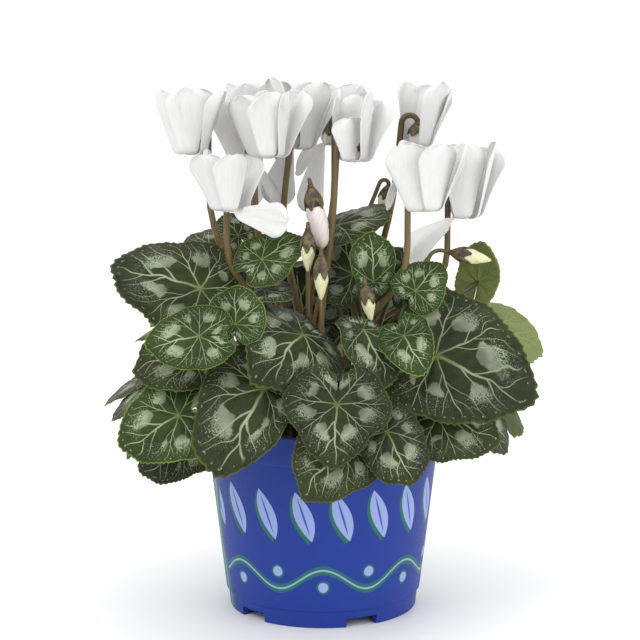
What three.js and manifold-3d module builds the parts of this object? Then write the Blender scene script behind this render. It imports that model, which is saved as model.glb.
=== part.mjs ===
// A potted cyclamen in flower: heart-shaped, silver-marked leaves on bowed stalks, nodding white
// flowers with swept-back petals, and drooping buds, all growing from a corm in a round pot.
// Millimetres, +Z up. The origin is on the pot's axis, in the plane that the pot stands on, and
// the plant's usual front faces -Y.

import * as THREE from "three";
import { mergeVertices } from "three/addons/utils/BufferGeometryUtils.js";
import Module from "manifold-3d";

const wasm = await Module();
wasm.setup();

// Driving dimensions
const POT_TOP_RADIUS = 57;
const POT_FOOT_RADIUS = 46;
const POT_HEIGHT = 93;
const POT_WALL = 1.5;
const RIM_DEPTH = 14;
const RIM_STEP = 0.8;
const HEM_HEIGHT = 8;
const HEM_STEP = 1;
const FLOOR_LIFT = 4.5;
const PAD_RADIUS = 22;
const FOOT_RING_RADIUS = 40;
const GAP = 0.3;
const SOIL_TOP = 82;
const CORM_RADIUS = 26;
const CORM_DEPTH = 22;
const CORM_TOP = 86;
const SOCKET_DEPTH = 3;
const BLADE = 0.7;
const STALK_RADIUS = 1.15;
const SCAPE_RADIUS = 1.35;
const BUD_STALK_RADIUS = 1.1;

const { degToRad, lerp, smoothstep } = THREE.MathUtils;
const vector = (list) => new THREE.Vector3(...list);
const UP = new THREE.Vector3(0, 0, 1);
const turn = 2 * Math.PI;

// A closed mesh as a solid that can be cut and joined, and back
function solid(geometry) {
  const bare = geometry.clone();
  bare.deleteAttribute("normal");
  bare.deleteAttribute("uv");
  const merged = mergeVertices(bare, 1e-4);
  const mesh = new wasm.Mesh({
    numProp: 3,
    vertProperties: merged.attributes.position.array,
    triVerts: new Uint32Array(merged.index.array),
  });
  return new wasm.Manifold(mesh);
}

function geometryOf(body) {
  const mesh = body.getMesh();
  const geometry = new THREE.BufferGeometry();
  geometry.setAttribute("position", new THREE.BufferAttribute(mesh.vertProperties, 3));
  geometry.setIndex(new THREE.BufferAttribute(mesh.triVerts, 1));
  geometry.computeVertexNormals();
  return geometry;
}

const joined = (bodies) => bodies.reduce((whole, body) => whole.add(body));

function geometryFrom(points, faces) {
  const geometry = new THREE.BufferGeometry();
  const flat = new Float32Array(points.flatMap((p) => [p.x, p.y, p.z]));
  geometry.setAttribute("position", new THREE.BufferAttribute(flat, 3));
  geometry.setIndex(faces);
  return geometry;
}

// A solid turned on the Z axis from a profile of [radius, height] pairs, from the bottom up
function turned(profile, segments) {
  const points = profile.map(([r, z]) => new THREE.Vector2(r, z));
  return solid(new THREE.LatheGeometry(points, segments).rotateX(Math.PI / 2));
}

// A piece of a ring, from angle to angle in degrees
function ringPiece(inner, outer, from, to, low, high) {
  const shape = new THREE.Shape();
  shape.absarc(0, 0, outer, degToRad(from), degToRad(to), false);
  shape.absarc(0, 0, inner, degToRad(to), degToRad(from), true);
  const options = { depth: high - low, bevelEnabled: false, curveSegments: 3 };
  return solid(new THREE.ExtrudeGeometry(shape, options).translate(0, 0, low));
}

// An upright peg with its axis through (x, y)
function peg(radius, low, high, sides, x, y) {
  const shape = new THREE.CylinderGeometry(radius, radius, high - low, sides);
  return solid(shape.rotateX(Math.PI / 2).translate(x, y, (low + high) / 2));
}

// A thin sheet: its upper face, the same triangles again below it, and a rim round the boundary
function sheet(points, triangles, boundary, thickness) {
  const upper = geometryFrom(points, triangles.flat());
  upper.computeVertexNormals();
  const normals = upper.attributes.normal;
  const below = points.map((p, i) => {
    const inward = new THREE.Vector3().fromBufferAttribute(normals, i);
    return p.clone().addScaledVector(inward, -thickness);
  });
  const n = points.length;
  const faces = triangles.flatMap(([a, b, c]) => [a, b, c, n + a, n + c, n + b]);
  boundary.forEach((a, i) => {
    const b = boundary[(i + 1) % boundary.length];
    faces.push(b, a, n + a, b, n + a, n + b);
  });
  return solid(geometryFrom([...points, ...below], faces));
}

// A stalk: rings of a few sides round each point of its line, closed at both ends
function stalk(line, radius, sides) {
  const points = [];
  const faces = [];
  let across = null;
  line.forEach((centre, i) => {
    const before = line[Math.max(i - 1, 0)];
    const after = line[Math.min(i + 1, line.length - 1)];
    const along = after.clone().sub(before).normalize();
    across = across ?? new THREE.Vector3(1, 0, 0);
    across.addScaledVector(along, -across.dot(along)).normalize();
    const aside = along.clone().cross(across);
    for (let k = 0; k < sides; k++) {
      const a = (turn * k) / sides;
      const out = across.clone().multiplyScalar(Math.cos(a)).addScaledVector(aside, Math.sin(a));
      points.push(centre.clone().addScaledVector(out, radius));
    }
  });
  const last = (line.length - 1) * sides;
  for (let k = 0; k < sides; k++) {
    const next = (k + 1) % sides;
    for (let i = 0; i < last; i += sides) {
      faces.push(i + k, i + next, i + sides + next, i + k, i + sides + next, i + sides + k);
    }
  }
  for (let k = 1; k < sides - 1; k++) {
    faces.push(0, k + 1, k, last, last + k, last + k + 1);
  }
  return solid(geometryFrom(points, faces));
}

// The places on the corm's crown where stalks stand, in rings from the middle outwards.
// Each stalk takes the free place of its ring that is nearest to its own direction.
const RINGS = [
  { radius: 5, places: 4 },
  { radius: 11, places: 9 },
  { radius: 16.8, places: 15 },
  { radius: 22.4, places: 20 },
];
const SOCKET_SLACK = 1.3;
const SOCKET_EASE = 0.4;
const freePlaces = RINGS.map(({ places }) => [...Array(places).keys()]);
const sockets = [];

function rootFor(ring, x, y, radius) {
  const { radius: reach, places } = RINGS[ring];
  const wanted = Math.atan2(y, x);
  const apart = (k) => Math.abs(((turn * k) / places - wanted + 5 * Math.PI) % turn - Math.PI);
  const place = freePlaces[ring].reduce((best, k) => (apart(k) < apart(best) ? k : best));
  freePlaces[ring].splice(freePlaces[ring].indexOf(place), 1);
  const angle = (turn * place) / places;
  const floor = CORM_TOP - SOCKET_DEPTH;
  const root = new THREE.Vector3(reach * Math.cos(angle), reach * Math.sin(angle), floor + GAP);
  sockets.push({ x: root.x, y: root.y, radius: SOCKET_SLACK * radius + SOCKET_EASE });
  return root;
}

// Leaves. A leaf is given by where its stalk meets the blade (at), its tip, the way its upper face
// looks (face), its half width and the reach of its two back lobes as shares of its length (side,
// back), how far it arches, folds along its midrib and droops at its tip, its wavy edge, and how
// its stalk rises from the crown (lift), comes up to the blade (reach) and bows aside.
const LEAF_FORM = {
  side: 0.74,
  back: 0.66,
  dome: 0.14,
  fold: 0,
  droop: 0.06,
  wave: 0.035,
  skew: 0,
  lean: 0,
  points: 12,
  ring: 3,
  lift: 0.5,
  reach: 0.35,
  bow: 0,
};
const SINUS = degToRad(172);
const NECK_RADIUS = 3.2;
const NECK_HEIGHT = 7;
const FAN_STEP = 1.1;
const NECK_SUNK = 2;
const LEAF_RING = 0.58;
const LEAF_WAVES = 3;
const TOOTH = 0.016;
const TIP_POINT = 0.05;
const RIDGE_ROUND = 0.1;
const PETIOLE_CLIMB = 0.8;
const PETIOLE_SLOPE = 0.45;

// The distance from stalk to edge in the direction a, which is 0 towards the tip
function leafReach(form, a) {
  const wide = Math.cos(a) ** 2;
  const end = Math.abs(a) < Math.PI / 2 ? 1 : form.back;
  const corner = 1 - 0.3 * smoothstep(Math.abs(a), degToRad(148), SINUS) ** 2;
  const tip = TIP_POINT * Math.exp(-((a / 0.16) ** 2));
  return (lerp(form.side, end, wide) + tip) * corner * (1 - form.lean * Math.sin(a));
}

// The height of the blade over its flat plan, as a share of its length
function leafRise(form, x, y, share, a) {
  const ridge = Math.hypot(y, RIDGE_ROUND) - RIDGE_ROUND;
  const drop = form.dome * (x * x + y * y) + form.droop * Math.max(0, x) ** 3;
  const ripple = form.wave * share ** 3 * Math.sin(LEAF_WAVES * a + form.at[0]);
  return form.fold * ridge - drop + ripple + form.skew * y * Math.abs(y);
}

// The blade's own axes: along to the tip, aside, and out of its upper face
function leafAxes(form) {
  const at = vector(form.at);
  const along = vector(form.tip).sub(at);
  const span = along.length();
  along.normalize();
  const aside = vector(form.face).cross(along).normalize();
  const out = along.clone().cross(aside);
  const reach = leafReach(form, 0);
  const bend = Math.atan2(-leafRise(form, reach, 0, 1, 0), reach);
  along.applyAxisAngle(aside, -bend);
  out.applyAxisAngle(aside, -bend);
  return { at, along, aside, out, length: (span / reach) * Math.cos(bend) };
}

function blade(form) {
  const { at, along, aside, out, length } = leafAxes(form);
  const place = (share, a, tooth) => {
    const r = share * leafReach(form, a) * tooth;
    const x = r * Math.cos(a);
    const y = r * Math.sin(a);
    const p = at.clone().addScaledVector(along, x * length).addScaledVector(aside, y * length);
    return p.addScaledVector(out, leafRise(form, x, y, share, a) * length);
  };
  // The edge has a point for each tooth and notch, and the ring inside it half as many
  const edge = form.points;
  const ring = edge / 2;
  const angle = (k, count) => lerp(-SINUS, SINUS, k / count);
  const points = [at.clone()];
  for (let k = 0; k <= ring; k++) {
    points.push(place(LEAF_RING, angle(k, ring), 1));
  }
  for (let k = 0; k <= edge; k++) {
    points.push(place(1, angle(k, edge), 1 + TOOTH * (k % 2 ? 1 : -1)));
  }
  const outer = ring + 2;
  const triangles = [];
  for (let k = 0; k < ring; k++) {
    const [a, b] = [1 + k, 2 + k];
    const c = outer + 2 * k;
    triangles.push([0, a, b], [a, c, c + 1], [a, c + 1, b], [b, c + 1, c + 2]);
  }
  const rim = [0, 1];
  for (let k = 0; k <= edge; k++) {
    rim.push(outer + k);
  }
  rim.push(ring + 1);
  return sheet(points, triangles, rim, BLADE);
}

// The leaf's stalk: straight up out of the crown, over in a bow, and up to the blade's underside
function petiole(form, root) {
  const { at, along, aside, out } = leafAxes(form);
  const end = at.clone().addScaledVector(out, -BLADE / 2);
  const far = end.distanceTo(root);
  const base = root.clone().addScaledVector(UP, SOCKET_DEPTH + 1);
  const rise = base.clone().addScaledVector(UP, form.lift * far);
  rise.addScaledVector(aside, form.bow);
  const come = end.clone().addScaledVector(out, -PETIOLE_CLIMB * form.reach * far);
  come.addScaledVector(along, -PETIOLE_SLOPE * form.reach * far);
  const curve = new THREE.CubicBezierCurve3(base, rise, come, end);
  return stalk([root, ...curve.getPoints(3)], STALK_RADIUS, 4);
}

function leafSolid(form, root) {
  return blade(form).add(petiole(form, root));
}

const SINGLE_LEAVES = {
  leaf_front_low: {
    at: [9, -83, 97],
    tip: [-9, -93, 75],
    face: [0, -0.9, 0.45],
    bow: -16,
    lift: 0.35,
    reach: 0.5,
    points: 16,
  },
  leaf_front_mid: {
    at: [6, -86, 116],
    tip: [4, -98, 91],
    face: [0, -0.95, 0.3],
    side: 0.88,
    back: 0.82,
    points: 16,
  },
  leaf_front_right: {
    at: [28, -82, 103],
    tip: [39, -90, 80],
    face: [0.2, -0.9, 0.4],
    side: 0.6,
    back: 0.68,
    points: 16,
  },
  leaf_front_left: {
    at: [-26, -69, 119.5],
    tip: [-47, -85, 82.5],
    face: [-0.1, -0.9, 0.4],
    side: 0.52,
    back: 0.5,
    lean: 0.22,
    points: 16,
  },
  leaf_centre: {
    at: [-9, -50, 140],
    tip: [-30, -77, 124.5],
    face: [0, -0.8, 0.6],
    side: 0.7,
    dome: 0.3,
    skew: -0.3,
    bow: 8,
    lift: 0.35,
    points: 16,
  },
  leaf_centre_right: {
    at: [18, -51, 142.5],
    tip: [24, -70, 126],
    face: [0.4, -0.7, 0.4],
    side: 0.46,
    back: 0.42,
    lift: 0.7,
    reach: 0.2,
    bow: -24,
    ring: 2,
  },
  leaf_right_folded: {
    at: [36, -59, 141.5],
    tip: [45, -75, 126.5],
    face: [-0.2, -0.8, 0.5],
    side: 0.56,
    back: 0.6,
    fold: 0.25,
    wave: 0.06,
    lift: 0.7,
    reach: 0.2,
  },
  leaf_right_big: {
    at: [51, -48, 130],
    tip: [95, -50, 109],
    face: [0.2, -0.8, 0.5],
    back: 0.5,
    lean: -0.1,
    points: 16,
    ring: 2,
  },
  leaf_right_top: {
    at: [42, -34, 157],
    tip: [55, -26, 168],
    face: [0, -0.8, 0.5],
    back: 0.42,
    lift: 0.35,
    reach: 0.2,
    points: 16,
    ring: 2,
  },
  leaf_right_low: { at: [52, -48, 102], tip: [81, -46, 90], face: [0.2, -0.7, 0.6], points: 16 },
  leaf_left_big: {
    at: [-56, -31, 157.5],
    tip: [-98, -27, 167],
    face: [-0.1, -0.6, 0.8],
    lift: 0.35,
    reach: 0.2,
    points: 16,
    ring: 2,
  },
  leaf_left_mid: {
    at: [-55, -71, 143.5],
    tip: [-78, -67, 139],
    face: [-0.1, -0.8, 0.5],
    lift: 0.35,
    side: 0.66,
    points: 16,
  },
  leaf_left_small: {
    at: [-39, -62, 147],
    tip: [-38, -57, 162],
    face: [0, -1, 0.3],
    side: 0.8,
    back: 0.45,
    dome: -0.2,
  },
  leaf_upper_left: {
    at: [-28, -30, 171],
    tip: [-9, -20, 180],
    face: [0, -0.55, 0.8],
    side: 0.68,
    bow: 24,
    lift: 0.7,
    points: 16,
    ring: 2,
  },
  leaf_left_low: { at: [-65, -60, 105], tip: [-91, -58, 90], face: [-0.2, -0.8, 0.5], points: 16 },
  leaf_left_lowest: {
    at: [-60, -50, 91],
    tip: [-84, -48, 75],
    face: [-0.2, -0.7, 0.6],
    side: 0.62,
    reach: 0.2,
  },
  leaf_middle_left: {
    at: [-27, -30, 156.5],
    tip: [-14, -41, 154.5],
    face: [0, -0.4, 0.9],
    ring: 2,
  },
};

const LEAF_GROUPS = {
  leaves_left: [
    { at: [-59, -46, 130], tip: [-86, -48, 122], face: [-0.2, -0.6, 0.7] },
    { at: [-81, -4, 113], tip: [-103, -4, 97], face: [-0.6, -0.1, 0.8], side: 0.4 },
    { at: [-78, -22, 111], tip: [-98, -24, 94], face: [-0.6, -0.1, 0.7], side: 0.4 },
    { at: [-75, 6, 133], tip: [-89, 10, 125], face: [-0.4, 0, 0.9] },
    {
      at: [-81, -12, 89],
      tip: [-92, -16, 74],
      face: [-0.7, -0.3, 0.6],
      side: 0.5,
      lift: 0.7,
      reach: 0.2,
    },
  ],
  leaves_right: [
    { at: [72, -20, 101], tip: [85, -22, 77], face: [0.7, -0.5, 0.5], side: 0.6 },
    { at: [84, 12, 101], tip: [92, 20, 76], face: [0.8, 0.3, 0.5] },
    { at: [80, 2, 134], tip: [104, 4, 119], face: [0.4, -0.5, 0.75] },
    { at: [73, 6, 154], tip: [74, 4, 174], face: [0.6, 0.7, 0.3] },
  ],
  leaves_middle: [
    { at: [14, -12, 161], tip: [8, 2, 179], face: [0, -0.8, 0.5] },
    { at: [23, -28, 160], tip: [22, -22, 183], face: [0, -0.9, 0.2], side: 0.34, back: 0.3, fold: 0.3 },
    {
      at: [7, 2, 182],
      tip: [31, -10, 187],
      face: [0, -0.4, 0.9],
      bow: 24,
      lift: 0.35,
      reach: 0.5,
    },
    { at: [35, -5, 156.5], tip: [45, 10, 169], face: [0.2, -0.7, 0.6], reach: 0.2 },
  ],
  leaves_upper_left: [
    { at: [-40, 14, 175], tip: [-49, 22, 183], face: [-0.1, -0.6, 0.8] },
    { at: [-51, 20, 167], tip: [-64, 34, 172], face: [-0.3, -0.3, 0.9] },
  ],
  leaves_back_left: [
    { at: [-60, 50, 140], tip: [-80, 66, 120], face: [-0.4, 0.4, 0.8], points: 10 },
    {
      at: [-30, 56, 149],
      tip: [-40, 84, 131],
      face: [-0.2, 0.5, 0.8],
      lift: 0.7,
      reach: 0.2,
      points: 10,
    },
    { at: [-50, 60, 110], tip: [-66, 80, 88], face: [-0.4, 0.6, 0.6], points: 10 },
    { at: [-10, 70, 112], tip: [-12, 92, 86], face: [0, 0.8, 0.5], points: 10 },
    { at: [-10, 46, 126], tip: [-11, 38, 149], face: [0, -0.9, 0.35], lift: 0.35, points: 10 },
  ],
  leaves_back_right: [
    { at: [7, 60, 156], tip: [10, 92, 142], face: [0, 0.5, 0.8], points: 10 },
    { at: [40, 58, 148], tip: [55, 84, 130], face: [0.3, 0.5, 0.8], points: 10 },
    { at: [66, 42, 140], tip: [88, 60, 122], face: [0.4, 0.3, 0.8], points: 10 },
    { at: [35, 68, 110], tip: [46, 88, 86], face: [0.3, 0.7, 0.5], points: 10 },
    { at: [22, 52, 124], tip: [24, 44, 147], face: [0, -0.9, 0.35], lift: 0.35, points: 10 },
  ],
};

// Flowers. A flower is given by its mouth, the lean of its axis, the side on which its stalk
// passes (degrees, 0 towards +X), and for each petal how far it opens from upright, its length,
// its width, and how it turns about its own length: all of it (lap) and its top (twist).
const PETAL = { open: 11, length: 32, width: 17, lap: 28, twist: 6, curl: 0.1 };
const PETAL_STEP = 60;
const TUBE_RADIUS = 3.6;
const HOOK_SIDE = 7.6;
const HOOK_TOP = 11;
const CALYX_LOW = 8;
const CALYX_TOP = 10.4;

function flowerAxes(flower) {
  const [leanX, leanY] = flower.lean ?? [0, 0];
  const up = new THREE.Vector3(leanX, leanY, 1).normalize();
  const a = degToRad(flower.side);
  const gapward = new THREE.Vector3(Math.cos(a), Math.sin(a), 0);
  gapward.addScaledVector(up, -gapward.dot(up)).normalize();
  return { at: vector(flower.at), up, gapward };
}

const PETAL_START = 140;
const PETAL_LIP = 0.2;
const PETAL_CUP = 0.16;
const PETAL_CREST = 0.04;
const PETAL_STATIONS = [0, 0.1, 0.42, 0.76, 1];

// A petal's width along its length, as a share of its full width: a wedge with a rounded top
function petalWidth(s) {
  const widening = THREE.MathUtils.clamp((s - 0.05) / 0.69, 0, 1) ** 1.15;
  return lerp(0.2, 1, widening) * (1 - 0.45 * smoothstep(s, 0.78, 1) ** 2);
}

// The petal's slope from upright: down out of the mouth, round the lip, and up
function petalPitch(form, s) {
  const opened = lerp(PETAL_START, form.open, Math.min(s / PETAL_LIP, 1));
  return degToRad(opened) + form.curl * Math.max(s - PETAL_LIP, 0);
}

function petal(flower, form, degreesFromGap) {
  const { at, up, gapward } = flowerAxes(flower);
  const outward = gapward.clone().applyAxisAngle(up, degToRad(degreesFromGap));
  const sideways = up.clone().cross(outward);
  const points = [];
  const centre = new THREE.Vector2(TUBE_RADIUS - 0.9, 0.9);
  PETAL_STATIONS.forEach((s, i) => {
    const pitch = petalPitch(form, s);
    if (i > 0) {
      const before = PETAL_STATIONS[i - 1];
      const step = (s - before) * form.length;
      const aim = petalPitch(form, (s + before) / 2);
      centre.x += Math.sin(aim) * step;
      centre.y += Math.cos(aim) * step;
    }
    const p = at.clone().addScaledVector(outward, centre.x).addScaledVector(up, centre.y);
    const [sin, cos] = [Math.sin(pitch), Math.cos(pitch)];
    const face = outward.clone().multiplyScalar(cos).addScaledVector(up, -sin);
    const run = outward.clone().multiplyScalar(sin).addScaledVector(up, cos);
    const spin = degToRad(form.lap + form.twist * s) * Math.min(s / PETAL_LIP, 1);
    const across = sideways.clone().applyAxisAngle(run, spin);
    face.applyAxisAngle(run, spin);
    const half = (form.width / 2) * petalWidth(s);
    for (const t of [-1, 0, 1]) {
      const q = p.clone().addScaledVector(across, t * half);
      q.addScaledVector(face, -PETAL_CUP * half * t * t);
      if (s === 1 && t === 0) {
        q.addScaledVector(run, PETAL_CREST * form.length);
      }
      points.push(q);
    }
  });
  const triangles = [];
  const rows = PETAL_STATIONS.length;
  for (let i = 0; i < rows - 1; i++) {
    for (let j = 0; j < 2; j++) {
      const a = 3 * i + j;
      triangles.push([a, a + 1, a + 4], [a, a + 4, a + 3]);
    }
  }
  const rim = [0, 1];
  for (let i = 0; i < rows; i++) {
    rim.push(3 * i + 2);
  }
  rim.push(3 * rows - 2);
  for (let i = rows - 1; i > 0; i--) {
    rim.push(3 * i);
  }
  return sheet(points, triangles, rim, BLADE);
}

// A solid made standing at the origin, set down on a flower's or bud's axis
function placed(body, at, up) {
  const spin = new THREE.Quaternion().setFromUnitVectors(UP, up);
  const matrix = new THREE.Matrix4().compose(at, spin, new THREE.Vector3(1, 1, 1));
  return body.transform(matrix.elements);
}

function bloomSolid(flower) {
  const { at, up } = flowerAxes(flower);
  const tube = turned(
    [
      [0, 0.4],
      [TUBE_RADIUS, 0.2],
      [TUBE_RADIUS + 0.4, 3],
      [3, CALYX_LOW - GAP],
      [0, CALYX_LOW - GAP],
    ],
    5,
  );
  const parts = [placed(tube, at, up)];
  for (let k = 0; k < 5; k++) {
    const own = flower.petals?.[k] ?? {};
    const form = { ...PETAL, ...flower.form, ...own };
    parts.push(petal(flower, form, 180 + (k - 2) * PETAL_STEP));
  }
  return joined(parts);
}

// The flower stalk: up from the crown, past the mouth on its open side, and over into the calyx
function hook(side, top, low) {
  const line = [[side, -16], [side, 0], [side, top - 1]];
  for (const a of [60, 120]) {
    const r = side / 2;
    line.push([r + r * Math.cos(degToRad(a)), top - 1 + r * Math.sin(degToRad(a))]);
  }
  line.push([0, top - 1], [0, low + 0.8]);
  return line;
}

// The stalk of a bud that lies on its side: up beside the bud and over to it
const CROOK = [[6, 16], [2, 14.5], [0, 11], [0, 4]];

function scapeLine(flower, root, side, top, low) {
  const { at, up, gapward } = flowerAxes(flower);
  const set = ([x, z]) => at.clone().addScaledVector(gapward, x).addScaledVector(up, z);
  const upper = (flower.sideways ? CROOK : hook(side, top, low)).map(set);
  const far = upper[0].distanceTo(root);
  const base = root.clone().addScaledVector(UP, SOCKET_DEPTH + 1);
  const rise = base.clone().addScaledVector(UP, (flower.lift ?? 0.4) * far);
  rise.add(vector([...(flower.bow ?? [0, 0]), 0]));
  const come = upper[0].clone();
  come.add(flower.sideways ? gapward.multiplyScalar(0.3 * far) : up.multiplyScalar(-0.35 * far));
  const curve = new THREE.CubicBezierCurve3(base, rise, come, upper[0]);
  return [root, ...curve.getPoints(3), ...upper.slice(1)];
}

function scapeSolid(flower, root) {
  const { at, up } = flowerAxes(flower);
  const line = scapeLine(flower, root, HOOK_SIDE, HOOK_TOP, CALYX_LOW);
  const calyx = turned(
    [
      [0, CALYX_LOW],
      [3, CALYX_LOW],
      [1.8, CALYX_TOP],
      [0, CALYX_TOP],
    ],
    6,
  );
  return stalk(line, SCAPE_RADIUS, 4).add(placed(calyx, at, up));
}

const FLOWERS = {
  flower_far_left: { at: [-60, -12, 217], side: 20, ring: 2, bow: [0, 17] },
  flower_left_back: {
    at: [-37, 8, 212],
    lean: [-0.04, 0],
    side: -60,
    ring: 1,
    petals: { 0: { open: 150, length: 26 } },
  },
  flower_left_front: { at: [-25, -16, 216], side: 150, ring: 1 },
  flower_middle_left: {
    at: [-13, 10, 217],
    lean: [0.12, 0],
    side: 250,
    ring: 0,
    bow: [-6, 12],
    lift: 0.6,
    petals: { 3: { open: 165, length: 28 } },
  },
  flower_middle: {
    at: [4, 32, 216],
    side: 280,
    ring: 0,
    bow: [-18, 18],
    lift: 0.6,
    petals: { 3: { open: 160 }, 4: { open: 116, length: 21, lap: 50 } },
  },
  flower_middle_right: {
    at: [13, -14, 214],
    lean: [0.05, 0],
    side: 200,
    ring: 0,
    bow: [-6, -18],
    form: { open: 9 },
    petals: { 0: { length: 22 } },
  },
  flower_low_left: {
    at: [-43, -28, 193],
    side: 100,
    ring: 1,
    bow: [18, -6],
    lift: 0.6,
    form: { open: 14, length: 28 },
    petals: { 3: { open: 98, length: 30, lap: 75 } },
  },
  flower_right_low: {
    at: [46, -28, 193],
    side: 180,
    ring: 1,
    bow: [-6, 0],
    lift: 0.6,
    form: { length: 34 },
  },
  flower_right_high: {
    at: [43, 4, 219],
    lean: [0.1, 0],
    side: 180,
    ring: 1,
    bow: [-6, 12],
    lift: 0.25,
    petals: { 0: { open: 150, lap: 45 } },
  },
  flower_far_right: {
    at: [65, 4, 185],
    side: 150,
    ring: 1,
    bow: [-6, 12],
    lift: 0.6,
    form: { open: 12, length: 37, width: 19 },
    petals: { 0: { open: 115, length: 30, lap: 60 } },
  },
  flower_back: { at: [-29, 36, 216], side: 0, ring: 1, petals: { 1: { open: 150 } } },
};

// Buds: pointed spindles that hang from the crook of their stalks. A bud is given by the middle
// of its base, its own length and radius, and the height of the calyx over it.
const BUD_CLEARANCE = 1.9;
const BUD_PROFILE = [
  [0.25, 0.96],
  [0.62, 0.68],
  [1, 0.3],
];

function budSolid(bud) {
  const { at, up } = flowerAxes(bud);
  const flank = BUD_PROFILE.map(([wide, down]) => [wide * bud.radius, -down * bud.length]);
  const base = [
    [0.9 * bud.radius, -GAP],
    [0, -GAP],
  ];
  return placed(turned([[0, -bud.length], ...flank, ...base], 8), at, up);
}

function budStalkSolid(bud, root) {
  const { at, up } = flowerAxes(bud);
  const r = bud.radius;
  const high = bud.calyx;
  const line = scapeLine(bud, root, r + BUD_CLEARANCE, high + 1, high - 1.5);
  const calyx = turned(
    [
      [0, 0],
      [r + 0.3, 0],
      [r + 0.3, 0.4 * high],
      [1.2, high],
      [0, high],
    ],
    6,
  );
  return stalk(line, BUD_STALK_RADIUS, 4).add(placed(calyx, at, up));
}

const BUDS = {
  bud_opening: {
    at: [-4, -20, 194],
    lean: [-0.2, 0],
    side: 90,
    bow: [-18, -12],
    lift: 0.6,
    length: 20,
    radius: 4.2,
    calyx: 9,
    ring: 1,
  },
  bud_left: {
    at: [-7, -34, 178],
    side: 90,
    bow: [-6, 0],
    lift: 0.25,
    length: 12,
    radius: 3.4,
    calyx: 7,
    ring: 2,
  },
  bud_middle: { at: [-1, -40, 167], side: 90, length: 13, radius: 3.4, calyx: 7, ring: 2 },
  bud_right: {
    at: [20, -40, 155],
    lean: [-0.15, 0],
    side: 90,
    lift: 0.25,
    length: 11,
    radius: 3.2,
    calyx: 6,
    ring: 2,
  },
  bud_far_right: {
    at: [65, -12, 170],
    lean: [-5, 0],
    sideways: true,
    side: 180,
    bow: [8, -26],
    lift: 0.25,
    length: 13,
    radius: 3.6,
    calyx: 6,
    ring: 2,
  },
  bud_young: {
    at: [29, 16, 193.5],
    lean: [0.4, 0],
    side: 180,
    bow: [6, -18],
    lift: 0.4,
    length: 7,
    radius: 2.6,
    calyx: 5,
    ring: 2,
  },
};

// The pot: a tapered cup with a deep rim band, a stepped hem, a raised floor with drain holes
// round a central pad, and a foot ring cut into feet by five drain notches
function outerRadius(z) {
  return lerp(POT_FOOT_RADIUS, POT_TOP_RADIUS, z / POT_HEIGHT);
}

const NOTCHES = 5;
const FIRST_NOTCH = -66;
const NOTCH_WIDTH = 20;
const DRAIN_RADIUS = 3.2;
const DRAIN_RING = 31;
const POT_SEGMENTS = 26;
const FILL_SEGMENTS = 14;

function potSolid() {
  const rimLow = POT_HEIGHT - RIM_DEPTH;
  const inner = (z) => outerRadius(z) - RIM_STEP - POT_WALL;
  const floorTop = FLOOR_LIFT + POT_WALL;
  const body = turned(
    [
      [0, 0],
      [PAD_RADIUS, 0],
      [PAD_RADIUS + 1, FLOOR_LIFT],
      [FOOT_RING_RADIUS, FLOOR_LIFT],
      [FOOT_RING_RADIUS + 1, 0],
      [POT_FOOT_RADIUS - HEM_STEP - RIM_STEP, 0],
      [outerRadius(HEM_HEIGHT) - HEM_STEP - RIM_STEP, HEM_HEIGHT],
      [outerRadius(HEM_HEIGHT) - RIM_STEP, HEM_HEIGHT + 0.6],
      [outerRadius(rimLow) - RIM_STEP, rimLow],
      [outerRadius(rimLow), rimLow + 0.8],
      [POT_TOP_RADIUS, POT_HEIGHT],
      [inner(POT_HEIGHT) + 0.6, POT_HEIGHT],
      [inner(floorTop), floorTop],
      [PAD_RADIUS - 1, floorTop],
      [PAD_RADIUS - 2, POT_WALL],
      [0, POT_WALL],
    ],
    POT_SEGMENTS,
  );
  let pot = body;
  for (let k = 0; k < NOTCHES; k++) {
    const from = FIRST_NOTCH - NOTCH_WIDTH / 2 + (360 / NOTCHES) * k;
    const [inside, outside] = [FOOT_RING_RADIUS - 1, POT_FOOT_RADIUS + 3];
    const notch = ringPiece(inside, outside, from, from + NOTCH_WIDTH, -1, FLOOR_LIFT);
    const a = degToRad(from + 180 / NOTCHES);
    const [x, y] = [DRAIN_RING * Math.cos(a), DRAIN_RING * Math.sin(a)];
    const drain = peg(DRAIN_RADIUS, -1, floorTop + 1, 6, x, y);
    pot = pot.subtract(notch).subtract(drain);
  }
  return pot;
}

// Soil fills the pot to just under its rim, with a round bed for the corm
function soilSolid() {
  const inner = (z) => outerRadius(z) - RIM_STEP - POT_WALL - GAP;
  const floor = FLOOR_LIFT + POT_WALL + GAP;
  return turned(
    [
      [0, POT_WALL + GAP],
      [PAD_RADIUS - 2 - GAP, POT_WALL + GAP],
      [PAD_RADIUS - 1 - GAP, floor],
      [inner(floor), floor],
      [inner(SOIL_TOP) - 0.5, SOIL_TOP - 2],
      [42, SOIL_TOP - 1],
      [34, SOIL_TOP],
      [CORM_RADIUS + GAP + 0.2, SOIL_TOP],
      [CORM_RADIUS + GAP, SOIL_TOP - 8],
      [CORM_RADIUS * 0.6, CORM_TOP - CORM_DEPTH - GAP],
      [0, CORM_TOP - CORM_DEPTH - GAP],
    ],
    FILL_SEGMENTS,
  );
}

// The corm: a flattened tuber whose crown holds a socket for each stalk
function cormSolid() {
  const body = turned(
    [
      [0, CORM_TOP - CORM_DEPTH],
      [CORM_RADIUS * 0.6 - GAP, CORM_TOP - CORM_DEPTH],
      [CORM_RADIUS, SOIL_TOP - 8],
      [CORM_RADIUS - 0.2, CORM_TOP - 2],
      [CORM_RADIUS - 2, CORM_TOP],
      [0, CORM_TOP],
    ],
    FILL_SEGMENTS,
  );
  const floor = CORM_TOP - SOCKET_DEPTH;
  const cuts = sockets.map(({ x, y, radius }) => peg(radius, floor, CORM_TOP + 1, 4, x, y));
  return cuts.reduce((corm, cut) => corm.subtract(cut), body);
}

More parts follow.
